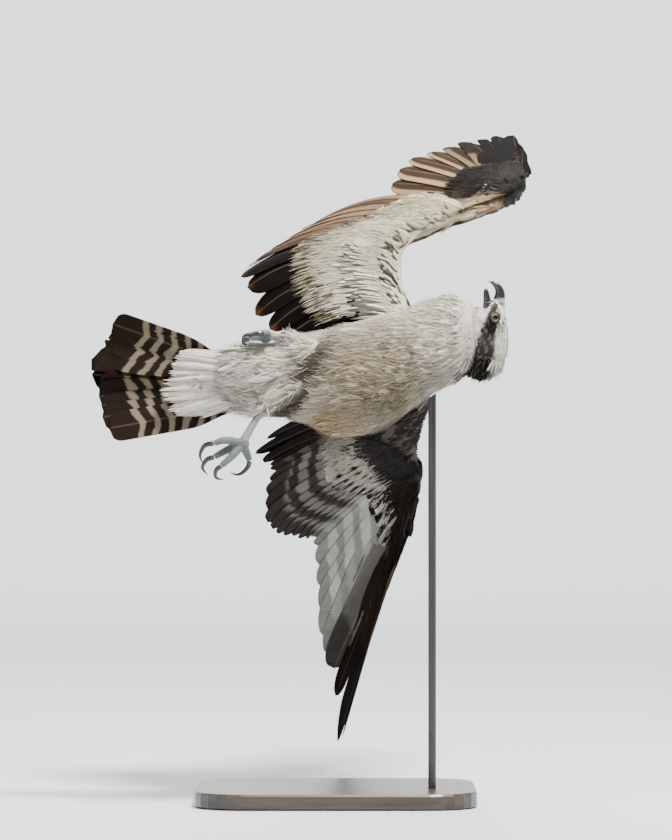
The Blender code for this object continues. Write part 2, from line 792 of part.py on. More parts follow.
def build_leg(side, hip, knee, ankle, foot_at, toes):
    """Thigh, tarsus, foot and four claws of one leg."""
    thigh = tube("leg_" + side + "_thigh", [hip, 0.5 * (hip + knee), knee], (24, 19, 9),
                 "plumage_white", sides=12)
    tarsus = tube("leg_" + side + "_tarsus", [knee, 0.5 * (knee + ankle), ankle],
                  (6.2, 5.0, 5.6), "leg_scale", sides=10)
    pieces = [ball("pad", foot_at, (9, 8, 9), "leg_scale", rows=5, sides=8)]
    claws = []
    for k, (bend, end, hook, crook, point) in enumerate(toes):
        pieces.append(tube("toe", [foot_at, bend, end], (6.0, 5.0, 3.8), "leg_scale",
                           sides=6))
        along = unit(end - bend)
        start = end + along * JOINT_GAP
        claws.append(tube("claw_" + side + "_" + str(k + 1),
                          [start, hook, crook, point], (3.5, 3.0, 2.0, 0.4),
                          "claw_black", sides=7))
    foot = joined("leg_" + side + "_foot", pieces)
    return [thigh, tarsus, foot] + claws


def build_legs():
    """The lowered left leg and the right leg drawn up along the belly."""
    left = build_leg(
        "left", seen(-38, 46, -30), seen(-90, 18, -56), seen(-112, -20, -62),
        seen(-117, -30, -62),
        (
            (seen(-137, -25, -72), seen(-152, -29, -75), seen(-164, -32, -75),
             seen(-170, -44, -73), seen(-166, -56, -70)),
            (seen(-137, -38, -62), seen(-152, -46, -62), seen(-162, -50, -61),
             seen(-167, -60, -60), seen(-160, -69, -59)),
            (seen(-130, -45, -72), seen(-143, -57, -75), seen(-150, -63, -75),
             seen(-150, -72, -73), seen(-140, -75, -71)),
            (seen(-112, -41, -54), seen(-108, -51, -53), seen(-111, -60, -52),
             seen(-121, -68, -53), seen(-134, -66, -55)),
        ),
    )
    right = build_leg(
        "right", seen(-30, 82, -26), seen(-58, 101, -20), seen(-80, 105, -16),
        seen(-88, 105, -15),
        (
            (seen(-96, 108, -18), seen(-106, 107, -17), seen(-113, 105, -16),
             seen(-116, 101, -16), seen(-112, 97, -16)),
            (seen(-97, 104, -23), seen(-107, 102, -24), seen(-114, 100, -24),
             seen(-116, 96, -24), seen(-111, 93, -24)),
            (seen(-97, 105, -10), seen(-107, 104, -8), seen(-114, 102, -7),
             seen(-116, 97, -6), seen(-111, 94, -6)),
            (seen(-86, 108, -27), seen(-92, 108, -32), seen(-99, 108, -34),
             seen(-105, 106, -35), seen(-108, 102, -34)),
        ),
    )
    return left + right


def build_stand():
    """Flat base and one rod up to the breast."""
    half_length = 0.5 * BASE_LENGTH
    half_width = 0.5 * BASE_WIDTH
    rings = []
    for z, inset in ((0.0, BASE_CHAMFER), (BASE_CHAMFER, 0.0),
                     (BASE_THICKNESS - BASE_CHAMFER, 0.0), (BASE_THICKNESS, BASE_CHAMFER)):
        ring = []
        for quarter in range(4):
            sign_x = (1, -1, -1, 1)[quarter]
            sign_y = (1, 1, -1, -1)[quarter]
            for k in range(7):
                angle = 0.5 * math.pi * (quarter + k / 6)
                radius = BASE_CORNER - inset
                ring.append(np.array((
                    sign_x * (half_length - BASE_CORNER) + radius * math.cos(angle),
                    sign_y * (half_width - BASE_CORNER) + radius * math.sin(angle),
                    z,
                )))
        rings.append(ring)
    base = loft("stand_base", rings, "stand_black", smooth=False)
    x, depth = ROD_AT
    foot = np.array((x, BODY_BACK + depth, BASE_THICKNESS + JOINT_GAP))
    top = np.array((x, BODY_BACK + depth, BODY_HEIGHT + 60.0))
    rod = tube("stand_rod", [foot, top], (ROD_RADIUS, ROD_RADIUS), "stand_black", sides=20)
    return [base, rod]


def main():
    """Build every node."""
    for thing in list(bpy.data.objects):
        bpy.data.objects.remove(thing)
    body = [build_torso(), build_neck(), build_head()]
    bill = [build_bill_upper(), build_bill_lower()]
    eyes = [build_eye("eye_left", -1), build_eye("eye_right", 1)]
    limbs = build_legs() + [build_tail()]
    meet(body + bill + eyes + limbs + build_wings() + build_stand())


main()
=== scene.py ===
"""Osprey in banked flight on a plain display stand, dressed feather by feather.

Lengths are in millimetres until a mesh is made. The bird lies on its side in the air:
head towards +X, back towards +Y, right wing up.
"""

import json
import logging
import math
from dataclasses import dataclass, field, replace
from enum import Enum
from typing import Callable, Sequence

import bmesh
import bpy
import numpy as np
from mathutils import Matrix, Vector

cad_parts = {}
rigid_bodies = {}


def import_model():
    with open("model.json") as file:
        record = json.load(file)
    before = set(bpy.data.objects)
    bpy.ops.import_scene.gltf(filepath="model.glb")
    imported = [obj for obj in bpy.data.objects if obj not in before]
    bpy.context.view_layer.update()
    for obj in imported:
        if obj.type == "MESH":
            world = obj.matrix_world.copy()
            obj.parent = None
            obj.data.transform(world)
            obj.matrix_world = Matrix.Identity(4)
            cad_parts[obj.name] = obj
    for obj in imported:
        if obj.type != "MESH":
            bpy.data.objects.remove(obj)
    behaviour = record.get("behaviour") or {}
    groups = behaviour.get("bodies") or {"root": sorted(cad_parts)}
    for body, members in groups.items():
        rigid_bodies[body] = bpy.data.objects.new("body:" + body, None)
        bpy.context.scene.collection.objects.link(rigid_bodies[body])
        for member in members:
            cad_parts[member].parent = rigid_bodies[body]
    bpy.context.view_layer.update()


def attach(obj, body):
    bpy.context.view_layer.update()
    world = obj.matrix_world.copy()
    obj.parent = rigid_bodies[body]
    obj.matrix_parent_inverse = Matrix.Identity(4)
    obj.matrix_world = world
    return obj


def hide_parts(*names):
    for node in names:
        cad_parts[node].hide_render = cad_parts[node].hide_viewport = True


LOG = logging.getLogger("osprey")
MM = 0.001
VIEW_DISTANCE = 6000.0
BODY_HEIGHT = 480.0
BODY_BACK = -30.0
FRAME_HEIGHT = 1.05
SENSOR = 36.0
RGB = tuple[float, float, float]
Array = np.ndarray
Draw = np.random.Generator
Piece = bpy.types.Object
Material = bpy.types.Material
Socket = bpy.types.NodeSocket
Tree = bpy.types.NodeTree
Feed = Socket | float | Sequence[float]

# Bars along a feather whose bar value is 1, gamma of the painted plumage, side of a small
# feather's bake patch, and the first primary whose tip narrows to a finger
BAR_SCALE = 20.0
DEEPENING = 1.5
SMALL_PATCH = 0.003
FIRST_FINGER = 22


def seen(x: float, z: float, depth: float) -> Array:
    """Place that shows at x, z from the body's middle and lies depth behind its plane.

    Args:
        x: Distance to the right of the picture's middle, at the body's plane.
        z: Distance above the picture's middle, at the body's plane.
        depth: Distance behind the body's plane.

    Returns:
        World place in millimetres.
    """
    spread = 1.0 + depth / VIEW_DISTANCE
    return np.array((x * spread, BODY_BACK + depth, BODY_HEIGHT + z * spread))


def unit(vectors: Array) -> Array:
    """Vectors made one long, along the last axis."""
    length = np.linalg.norm(vectors, axis=-1, keepdims=True)
    return vectors / np.maximum(length, 1e-9)


def step_up(values: Array, low: float, high: float) -> Array:
    """Smooth rise from 0 at low to 1 at high."""
    share = np.clip((np.asarray(values, float) - low) / (high - low), 0.0, 1.0)
    return share * share * (3.0 - 2.0 * share)


def mixed(first: Array, second: Array, share: Array) -> Array:
    """Colours between first and second by share."""
    share = np.asarray(share, float)[..., None]
    return np.asarray(first) * (1.0 - share) + np.asarray(second) * share


def smooth_through(places: Array, values: Array, u: Array) -> Array:
    """Values at u on a smooth curve through the keys, straight past both ends.

    Args:
        places: Key places along the row, rising.
        values: One row of numbers for each key.
        u: Places to read.

    Returns:
        One row of numbers for each u.
    """
    u = np.asarray(u, float)
    gaps = np.diff(places)
    rises = np.diff(values, axis=0) / gaps[:, None]
    slopes = np.empty_like(values)
    slopes[0] = rises[0]
    slopes[-1] = rises[-1]
    before = gaps[:-1, None]
    after = gaps[1:, None]
    slopes[1:-1] = (rises[:-1] * after + rises[1:] * before) / (before + after)
    k = np.clip(np.searchsorted(places, u, side="right") - 1, 0, len(gaps) - 1)
    run = gaps[k][..., None]
    s = (np.clip(u, places[0], places[-1]) - places[k])[..., None] / run
    curve = (
        values[k] * (2 * s**3 - 3 * s**2 + 1) + slopes[k] * run * (s**3 - 2 * s**2 + s)
        + values[k + 1] * (3 * s**2 - 2 * s**3) + slopes[k + 1] * run * (s**3 - s**2)
    )
    below = np.minimum(u - places[0], 0.0)[..., None]
    above = np.maximum(u - places[-1], 0.0)[..., None]
    return curve + slopes[0] * below + slopes[-1] * above


def read_all(items: bpy.types.bpy_prop_collection, name: str, width: int,
             kind: type = np.float32) -> Array:
    """One property of every item, a row each.

    Args:
        items: Vertices, triangles or unwrap entries of a mesh.
        name: Name of the property.
        width: Numbers in it.
        kind: Kind of number.

    Returns:
        The rows, as whole numbers or as doubles.
    """
    values = np.empty(len(items) * width, dtype=kind)
    items.foreach_get(name, values)
    return values.reshape(-1, width).astype(float if kind is np.float32 else kind)


def strips(order: Array, total: int) -> Array:
    """Bake patches of long feathers, each one a strip of the whole map."""
    ones = np.ones(len(order))
    return np.stack((0.5 * ones, (order + 0.5) / total, 0.96 * ones, 0.9 / total * ones), axis=1)


def dots(u: Array, v: Array) -> Array:
    """Small bake patches round u, v."""
    size = np.full(len(u), SMALL_PATCH)
    return np.stack((u, v, size, size), axis=1)


def set_out(roots: Array, *steps: tuple[Array, Array]) -> Array:
    """Places reached from each feather's root.

    Args:
        roots: One root a feather.
        steps: Lengths over the feather's grid, each with one direction a feather.

    Returns:
        Places, feathers by stations by ring by 3.
    """
    places = roots[:, None, None]
    for lengths, directions in steps:
        places = places + lengths[..., None] * directions[:, None, None]
    return places


class Coat(Enum):
    """Kinds of plumage, each with its own size, lift and softness."""

    FACE = "face"
    CREST = "crest"
    NECK = "neck"
    BREAST = "breast"
    FLANK = "flank"
    VENT = "vent"
    THIGH = "thigh"
    BACK = "back"
    ARM = "arm"


@dataclass(frozen=True)
class CoatSize:
    """Feather sizes of one kind of plumage, in millimetres and degrees."""

    length: float
    width: float
    spacing: float
    lift: float
    ruffle: float
    down: float


COAT_SIZES: dict[Coat, CoatSize] = {
    Coat.FACE: CoatSize(9.0, 4.0, 2.0, 5.0, 4.0, 0.12),
    Coat.CREST: CoatSize(19.0, 6.0, 2.8, 10.0, 9.0, 0.7),
    Coat.NECK: CoatSize(20.0, 9.0, 3.2, 7.0, 8.0, 0.8),
    Coat.BREAST: CoatSize(22.0, 12.0, 3.4, 3.5, 4.0, 0.8),
    Coat.FLANK: CoatSize(30.0, 13.0, 3.6, 3.5, 5.0, 0.8),
    Coat.VENT: CoatSize(42.0, 13.0, 3.8, 5.0, 8.0, 0.8),
    Coat.THIGH: CoatSize(24.0, 9.0, 3.2, 8.0, 8.0, 0.8),
    Coat.BACK: CoatSize(28.0, 18.0, 7.5, 7.0, 4.0, 0.0),
    Coat.ARM: CoatSize(24.0, 10.0, 6.0, 2.0, 3.0, 0.0),
}


@dataclass(frozen=True)
class Tone:
    """Colours and marks of a feather: ground, mark, bars, bar share, dark tip, shaft streak."""

    ground: RGB
    mark: RGB
    bars: float = 0.0
    share: float = 0.0
    tip: float = 0.0
    streak: float = 0.0


WHITE: RGB = (0.86, 0.83, 0.77)
CREAM: RGB = (0.72, 0.64, 0.50)
BUFF: RGB = (0.62, 0.47, 0.27)
SEAL: RGB = (0.055, 0.038, 0.028)
BROWN: RGB = (0.13, 0.085, 0.058)
BLACK: RGB = (0.016, 0.014, 0.014)


class Blade:
    """Grid of one feather: a flat lens in section, closed at both ends."""

    def __init__(self, stations: Sequence[float], across: Sequence[float]) -> None:
        """Lay out the ring places and the faces of one feather.

        Args:
            stations: Places from root (0) to tip (1).
            across: Places from one edge (-1) to the other (1).
        """
        self.stations = np.asarray(stations, float)
        self.across = np.asarray(across, float)
        count = len(self.across)
        self.ring_side = np.concatenate((self.across, self.across[-2:0:-1]))
        inner = np.ones(count)
        inner[0] = 0.0
        inner[-1] = 0.0
        self.ring_level = np.concatenate((inner, -inner[-2:0:-1]))
        ring = len(self.ring_side)
        quads = []
        upper = []
        for s in range(len(self.stations) - 1):
            for k in range(ring):
                a = s * ring + k
                b = s * ring + (k + 1) % ring
                quads.append((a, b, b + ring, a + ring))
                upper.append(k < count - 1)
        triangles = []
        for first, turn in ((0, False), ((len(self.stations) - 1) * ring, True)):
            for k in range(count - 1):
                top = (first + k, first + k + 1)
                low = (first + (ring - k) % ring, first + (ring - k - 1) % ring)
                for face in ((top[0], low[0], low[1]), (top[0], low[1], top[1])):
                    if len(set(face)) == 3:
                        triangles.append(face[::-1] if turn else face)
        self.quads = np.array(quads)
        self.upper = np.array(upper)
        self.triangles = np.array(triangles)
        self.size = ring * len(self.stations)

    def grid(self) -> tuple[Array, Array, Array]:
        """Places along, places across and levels, shaped to spread over many feathers."""
        return (self.stations[None, :, None], self.ring_side[None, None, :],
                self.ring_level[None, None, :])


def leaf(s: Array, start: float, widest: float, point: float) -> Array:
    """Width share of a feather from root (0) to tip (1).

    Args:
        s: Places along the feather.
        start: Width share at the root.
        widest: Place from which the tip rounds off.
        point: Power of the rounding, low for a pointed tip.

    Returns:
        Width shares from 0 to 1.
    """
    rise = start + (1.0 - start) * step_up(s, 0.0, 0.35)
    round_off = np.clip((s - widest) / (1.0 - widest), 0.0, 1.0)
    return rise * np.maximum(1.0 - round_off**point, 0.0) ** (1.0 / point)


class Plumes:
    """Feathers gathered for one mesh, with their colours and their two maps."""

    def __init__(self, name: str) -> None:
        """Start an empty gathering under a piece's name."""
        self.name = name
        self.points: list[Array] = []
        self.quads: list[Array] = []
        self.triangles: list[Array] = []
        self.vane: list[Array] = []
        self.bake: list[Array] = []
        self.paint: dict[str, list[Array]] = {"quad": [], "triangle": []}
        self.count = 0

    def add(self, blade: Blade, points: Array, bake: Array, under: Array, over: Array,
            back: bool = False) -> None:
        """Add feathers of one blade.

        Args:
            blade: The grid that they share.
            points: Places, feathers by stations by ring by 3.
            bake: Patch for each feather: u, v, width along and width across.
            under: Twelve paint numbers a feather for the side its ring starts on.
            over: The same for the other side.
            back: True where the ends take the other side's paint.
        """
        feathers = len(points)
        grid = points.reshape(feathers, blade.size, -1)
        flat = grid[:, :, 0:3]
        along = np.repeat(blade.stations, len(blade.ring_side))
        row = grid[:, :, 3] if grid.shape[2] > 3 else np.tile(along, (feathers, 1))
        side = np.tile(0.5 + 0.5 * blade.ring_side, len(blade.stations))
        a, b, c, d = (flat[:, blade.quads[:, k]] for k in range(4))
        middle = flat.mean(axis=1, keepdims=True)
        bulk = np.einsum("fqi,fqi->f", np.cross(c - a, d - b), a - middle)
        flipped = (bulk < 0)[:, None, None]
        base = self.count + np.arange(feathers)[:, None, None] * blade.size
        self.points.append(flat.reshape(-1, 3))
        for store, faces in ((self.quads, blade.quads), (self.triangles, blade.triangles)):
            turned = np.where(flipped, faces[None, :, ::-1], faces[None])
            store.append((turned + base).reshape(-1, faces.shape[1]))
        across = np.tile(side, (feathers, 1))
        self.vane.append(np.stack((row, across), axis=2).reshape(-1, 2))
        patch_u = bake[:, 0:1] + bake[:, 2:3] * (along[None] - 0.5)
        patch_v = bake[:, 1:2] + bake[:, 3:4] * (side[None] - 0.5)
        self.bake.append(np.stack((patch_u, patch_v), axis=2).reshape(-1, 2))
        upper = blade.upper[None, :, None]
        faces = np.where(upper, under[:, None, :], over[:, None, :])
        self.paint["quad"].append(faces.reshape(-1, under.shape[1]))
        ends = over if back else under
        caps = np.repeat(ends[:, None, :], len(blade.triangles), axis=1)
        self.paint["triangle"].append(caps.reshape(-1, under.shape[1]))
        self.count += feathers * blade.size

    def build(self, material: Material, slot: str) -> None:
        """Make one piece of all the feathers.

        Args:
            material: The feathers' finish.
            slot: Not used.
        """
        points = np.concatenate(self.points) * MM
        quads = np.concatenate(self.quads)
        triangles = np.concatenate(self.triangles)
        mesh = bpy.data.meshes.new(self.name)
        mesh.vertices.add(len(points))
        mesh.vertices.foreach_set("co", points.astype(np.float32).ravel())
        corners = np.concatenate((quads.ravel(), triangles.ravel()))
        mesh.loops.add(len(corners))
        mesh.loops.foreach_set("vertex_index", corners.astype(np.int32))
        starts = np.concatenate((
            np.arange(len(quads)) * 4, len(quads) * 4 + np.arange(len(triangles)) * 3,
        ))
        mesh.polygons.add(len(starts))
        mesh.polygons.foreach_set("loop_start", starts.astype(np.int32))
        mesh.update(calc_edges=True)
        for name, places in (("OFBake", self.bake), ("Vane", self.vane)):
            values = np.concatenate(places)[corners]
            layer = mesh.uv_layers.new(name=name)
            layer.data.foreach_set("uv", values.astype(np.float32).ravel())
        paint = np.concatenate((
            np.repeat(np.concatenate(self.paint["quad"]), 4, axis=0),
            np.repeat(np.concatenate(self.paint["triangle"]), 3, axis=0),
        ))
        for k, name in enumerate(("Ground", "Mark", "Style")):
            layer = mesh.attributes.new(name, "FLOAT_COLOR", "CORNER")
            layer.data.foreach_set(
                "color", paint[:, 4 * k:4 * k + 4].astype(np.float32).ravel()
            )
        mesh.polygons.foreach_set("use_smooth", np.ones(len(starts), dtype=bool))
        mesh.validate()
        mesh.materials.append(material)
        piece = bpy.data.objects.new(self.name, mesh)
        bpy.context.scene.collection.objects.link(piece)
        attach(piece, "root")
        LOG.info("%s: %d triangles", self.name, 2 * len(quads) + len(triangles))


def paint_rows(tones: Sequence[Tone], draw: Draw, spread: float = 0.08) -> Array:
    """Twelve paint numbers for each tone, each feather a little lighter or darker.

    Args:
        tones: One tone a feather.
        draw: Seeded random numbers.
        spread: How far the lightness varies.

    Returns:
        Ground, mark and style colours side by side.
    """
    rows = []
    for tone in tones:
        light = 1.0 + draw.normal(0.0, spread)
        ground = np.clip(np.array(tone.ground) * light, 0.0, 0.95)
        mark = np.clip(np.array(tone.mark) * light, 0.0, 0.95)
        rows.append((*ground, 1.0, *mark, 1.0, tone.bars / BAR_SCALE, tone.share, tone.tip,
                     tone.streak))
    return np.array(rows)


@dataclass
class Sheet:
    """The curved surface that one row of flight feathers shares.

    u counts feathers along the row, and t runs from a feather's root (0) to its tip (1).
    """

    keys: tuple[tuple, ...]
    bow: tuple[float, float, float]
    least_pitch: float = 6.0
    fanned_from: float = 0.35
    outward: float = field(init=False, default=1.0)

    def __post_init__(self) -> None:
        """Read the keys and find which way the underside faces."""
        self.places = np.array([key[0] for key in self.keys])
        self.values = np.array([
            np.concatenate((seen(*key[1]), seen(*key[2]), seen(*key[3]))) for key in self.keys
        ])
        middle = np.array(0.5 * (self.places[0] + self.places[-1]))
        if self.normal(middle, np.array(0.5))[1] > 0:
            self.outward = -1.0

    def row(self, u: Array) -> tuple[Array, Array, Array]:
        """Leading edge, root and tip at u."""
        value = smooth_through(self.places, self.values, u)
        return value[..., 0:3], value[..., 3:6], value[..., 6:9]

    def place(self, u: Array, t: Array) -> Array:
        """Points of the surface."""
        root, tip = self.row(u)[1:]
        share = np.asarray(t, float)[..., None]
        return root + (tip - root) * share + np.array(self.bow) * 4 * share * (1 - share)

    def slopes(self, u: Array, t: Array) -> tuple[Array, Array]:
        """Rates of change along u and along t."""
        along_u = (self.place(u + 0.05, t) - self.place(u - 0.05, t)) / 0.1
        along_t = (self.place(u, t + 0.01) - self.place(u, t - 0.01)) / 0.02
        return along_u, along_t

    def normal(self, u: Array, t: Array) -> Array:
        """Directions out of the underside, taken where the row has fanned out."""
        along_u, along_t = self.slopes(u, np.maximum(t, self.fanned_from))
        return self.outward * unit(np.cross(along_u, along_t))

    def spacing(self, u: Array, t: Array) -> tuple[Array, Array, Array]:
        """Shaft's length, the next shaft's shift along it and its distance square to it."""
        along_u, along_t = self.slopes(u, t)
        length = np.linalg.norm(along_t, axis=-1)
        shaft = along_t / length[..., None]
        lean = np.sum(along_u * shaft, axis=-1)
        return length, lean, np.linalg.norm(along_u - lean[..., None] * shaft, axis=-1)

    def beside(self, u: Array, t: Array, reach: Array) -> tuple[Array, Array]:
        """Surface places reach to the side of a feather's shaft, square to it."""
        length, lean, across = self.spacing(u, t)
        side = reach / np.maximum(across, self.least_pitch)
        return u + side, t - lean * side / length

    def vanes(
        self, blade: Blade, us: Array, start: Array, end: Array, half: Array,
        shape: Callable[[Array], Array], lift: Callable[[Array, Array], Array],
        step: float, thickness: float, lead_share: float = 0.5, ripple: float = 0.0,
        seed: int = 1,
    ) -> Array:
        """Places of many feathers that follow the surface and shingle on each other.

        Args:
            blade: The grid of each feather.
            us: Where each feather's shaft runs.
            start: Share of the row's length where each feather starts.
            end: Share where each ends.
            half: Half width of each.
            shape: Width share by place along the feather.
            lift: Height above the surface by u and t.
            step: Height between one feather and the next.
            thickness: Thickness at the shaft.
            lead_share: Share of the width on the leading side.
            ripple: Height of the random waves in the vane.
            seed: Seed of the random waves.

        Returns:
            Places, feathers by stations by ring by 4: three for the point, and how far
            along its row it lies, which keeps neighbouring bars in line.
        """
        s, side, rim = blade.grid()
        t = start[:, None, None] + (end - start)[:, None, None] * s
        share = np.where(side > 0, 2 * lead_share, 2 * (1 - lead_share))
        reach = side * share * half[:, None, None] * shape(s)
        u = us[:, None, None] + np.zeros_like(reach)
        t = t + np.zeros_like(reach)
        side_u, side_t = self.beside(u, t, reach)
        normal = self.normal(side_u, side_t)
        level = lift(u, t) + step * np.clip(u - side_u, -1.3, 1.3)
        if ripple:
            phase = np.random.default_rng(seed).uniform(0.0, 2 * math.pi, (len(us), 3))
            wave = np.sin(7.0 * s + phase[:, 0, None, None])
            wave = wave * np.sin(2.4 * side + phase[:, 1, None, None])
            level = level + ripple * wave * s
        body = rim * 0.5 * thickness * (1.15 - 0.8 * s)
        place = self.place(side_u, side_t) + normal * (level + body)[..., None]
        return np.concatenate((place, np.clip(side_t, 0.0, 1.05)[..., None]), axis=-1)


class Graph:
    """Node tree whose nodes are fed by sockets, numbers and colours."""

    def __init__(self, tree: Tree) -> None:
        """Work on one tree."""
        self.tree = tree

    def feed(self, socket: Socket, value: Feed) -> None:
        """Link another socket to this one, or set its number, vector or colour."""
        if isinstance(value, Socket):
            self.tree.links.new(value, socket)
        elif socket.type == "RGBA":
            socket.default_value = (*value, 1.0)
        else:
            socket.default_value = value

    def node(self, kind: str, values: dict[int | str, Feed], **settings: object) -> bpy.types.Node:
        """Add one shader node.

        Args:
            kind: Blender's name of the node, without its first word.
            values: Feeds by the number or name of the input.
            settings: The node's own settings by name.

        Returns:
            The node.
        """
        node = self.tree.nodes.new("ShaderNode" + kind)
        for name, value in settings.items():
            setattr(node, name, value)
        for key, value in values.items():
            self.feed(node.inputs[key], value)
        return node

    def math(self, operation: str, *values: Feed) -> Socket:
        """Result of one Math node."""
        return self.node("Math", dict(enumerate(values)), operation=operation).outputs[0]

    def scaled(self, value: Feed, factor: Feed, offset: Feed) -> Socket:
        """A value times a factor, plus an offset."""
        return self.math("MULTIPLY_ADD", value, factor, offset)

    def mix(self, share: Feed, first: Feed, second: Feed,
            blend: str = "MIX") -> Socket:
        """Colour between first and second by share."""
        feeds = {0: share, 6: first, 7: second}
        return self.node("Mix", feeds, data_type="RGBA", blend_type=blend).outputs[2]

    def smooth(self, value: Feed, low: Feed, high: Feed) -> Socket:
        """Smooth rise of a value from 0 at low to 1 at high."""
        feeds = {0: value, 1: low, 2: high}
        return self.node("MapRange", feeds, interpolation_type="SMOOTHSTEP").outputs[0]

    def falling(self, value: Feed, low: Feed, high: Feed) -> Socket:
        """Smooth fall of a value from 1 at low to 0 at high."""
        return self.math("SUBTRACT", 1.0, self.smooth(value, low, high))

    def noise(self, vector: Feed, scale: float, detail: float) -> Socket:
        """Noise between 0 and 1 over a vector."""
        feeds = {"Vector": vector, "Scale": scale, "Detail": detail}
        return self.node("TexNoise", feeds).outputs["Fac"]

    def parts(self, vector: Feed) -> list[Socket]:
        """The three parts of a vector."""
        return self.node("SeparateXYZ", {0: vector}).outputs[0:3]

    def dimmed(self, colour: Feed, light: Feed) -> Socket:
        """A colour times a lightness."""
        grey = self.node("CombineColor", {0: light, 1: light, 2: light}).outputs[0]
        return self.mix(1.0, colour, grey, "MULTIPLY")

    def deepened(self, colour: Feed) -> Socket:
        """A painted colour as deep as plumage is."""
        return self.node("Gamma", {"Gamma": DEEPENING, "Color": colour}).outputs[0]


class Group(Graph):
    """Node group with named inputs and outputs of one kind each."""

    def __init__(self, name: str, numbers: Sequence[str], vector: str,
                 results: Sequence[str]) -> None:
        """Start a group.

        Args:
            name: Name of the group.
            numbers: Names of its number inputs.
            vector: Name of its vector input, which comes last.
            results: Names of its number outputs.
        """
        super().__init__(bpy.data.node_groups.new(name, "ShaderNodeTree"))
        sides = (("INPUT", "Float", numbers), ("INPUT", "Vector", [vector]),
                 ("OUTPUT", "Float", results))
        for side, kind, names in sides:
            for label in names:
                self.tree.interface.new_socket(
                    label, in_out=side, socket_type="NodeSocket" + kind)
        self.inputs = self.tree.nodes.new("NodeGroupInput").outputs

    def give(self, *values: Socket) -> Tree:
        """Link the results and return the finished tree."""
        outside = self.tree.nodes.new("NodeGroupOutput")
        for value, socket in zip(values, outside.inputs):
            self.tree.links.new(value, socket)
        return self.tree


class Finish(Graph):
    """Material in the making, with its shader and its Object coordinates."""

    def __init__(self, name: str, mottle: Tree) -> None:
        """Start a material.

        Args:
            name: Name of the material.
            mottle: Node group of the shared mottling.
        """
        self.material = bpy.data.materials.new(name)
        self.material.use_nodes = True
        super().__init__(self.material.node_tree)
        self.shader = self.tree.nodes["Principled BSDF"]
        self.place = self.node("TexCoord", {}).outputs["Object"]
        self.mottle = mottle

    def grain(self) -> list[Socket]:
        """Coarse and fine mottling of the surface."""
        return self.node("Group", {0: self.place}, node_tree=self.mottle).outputs[0:2]

    def done(self, values: dict[str, Feed], height: Feed | None = None,
             distance: float = 0.0) -> Material:
        """Set the shader and return the material.

        Args:
            values: Feeds of the shader by input name.
            height: Height that raises the surface, if any.
            distance: Distance of that height, in metres.

        Returns:
            The material.
        """
        for name, value in values.items():
            self.feed(self.shader.inputs[name], value)
        if height is not None:
            bump = self.node("Bump", {"Distance": distance, "Strength": 1.0, "Height": height})
            self.feed(self.shader.inputs["Normal"], bump.outputs["Normal"])
        return self.material


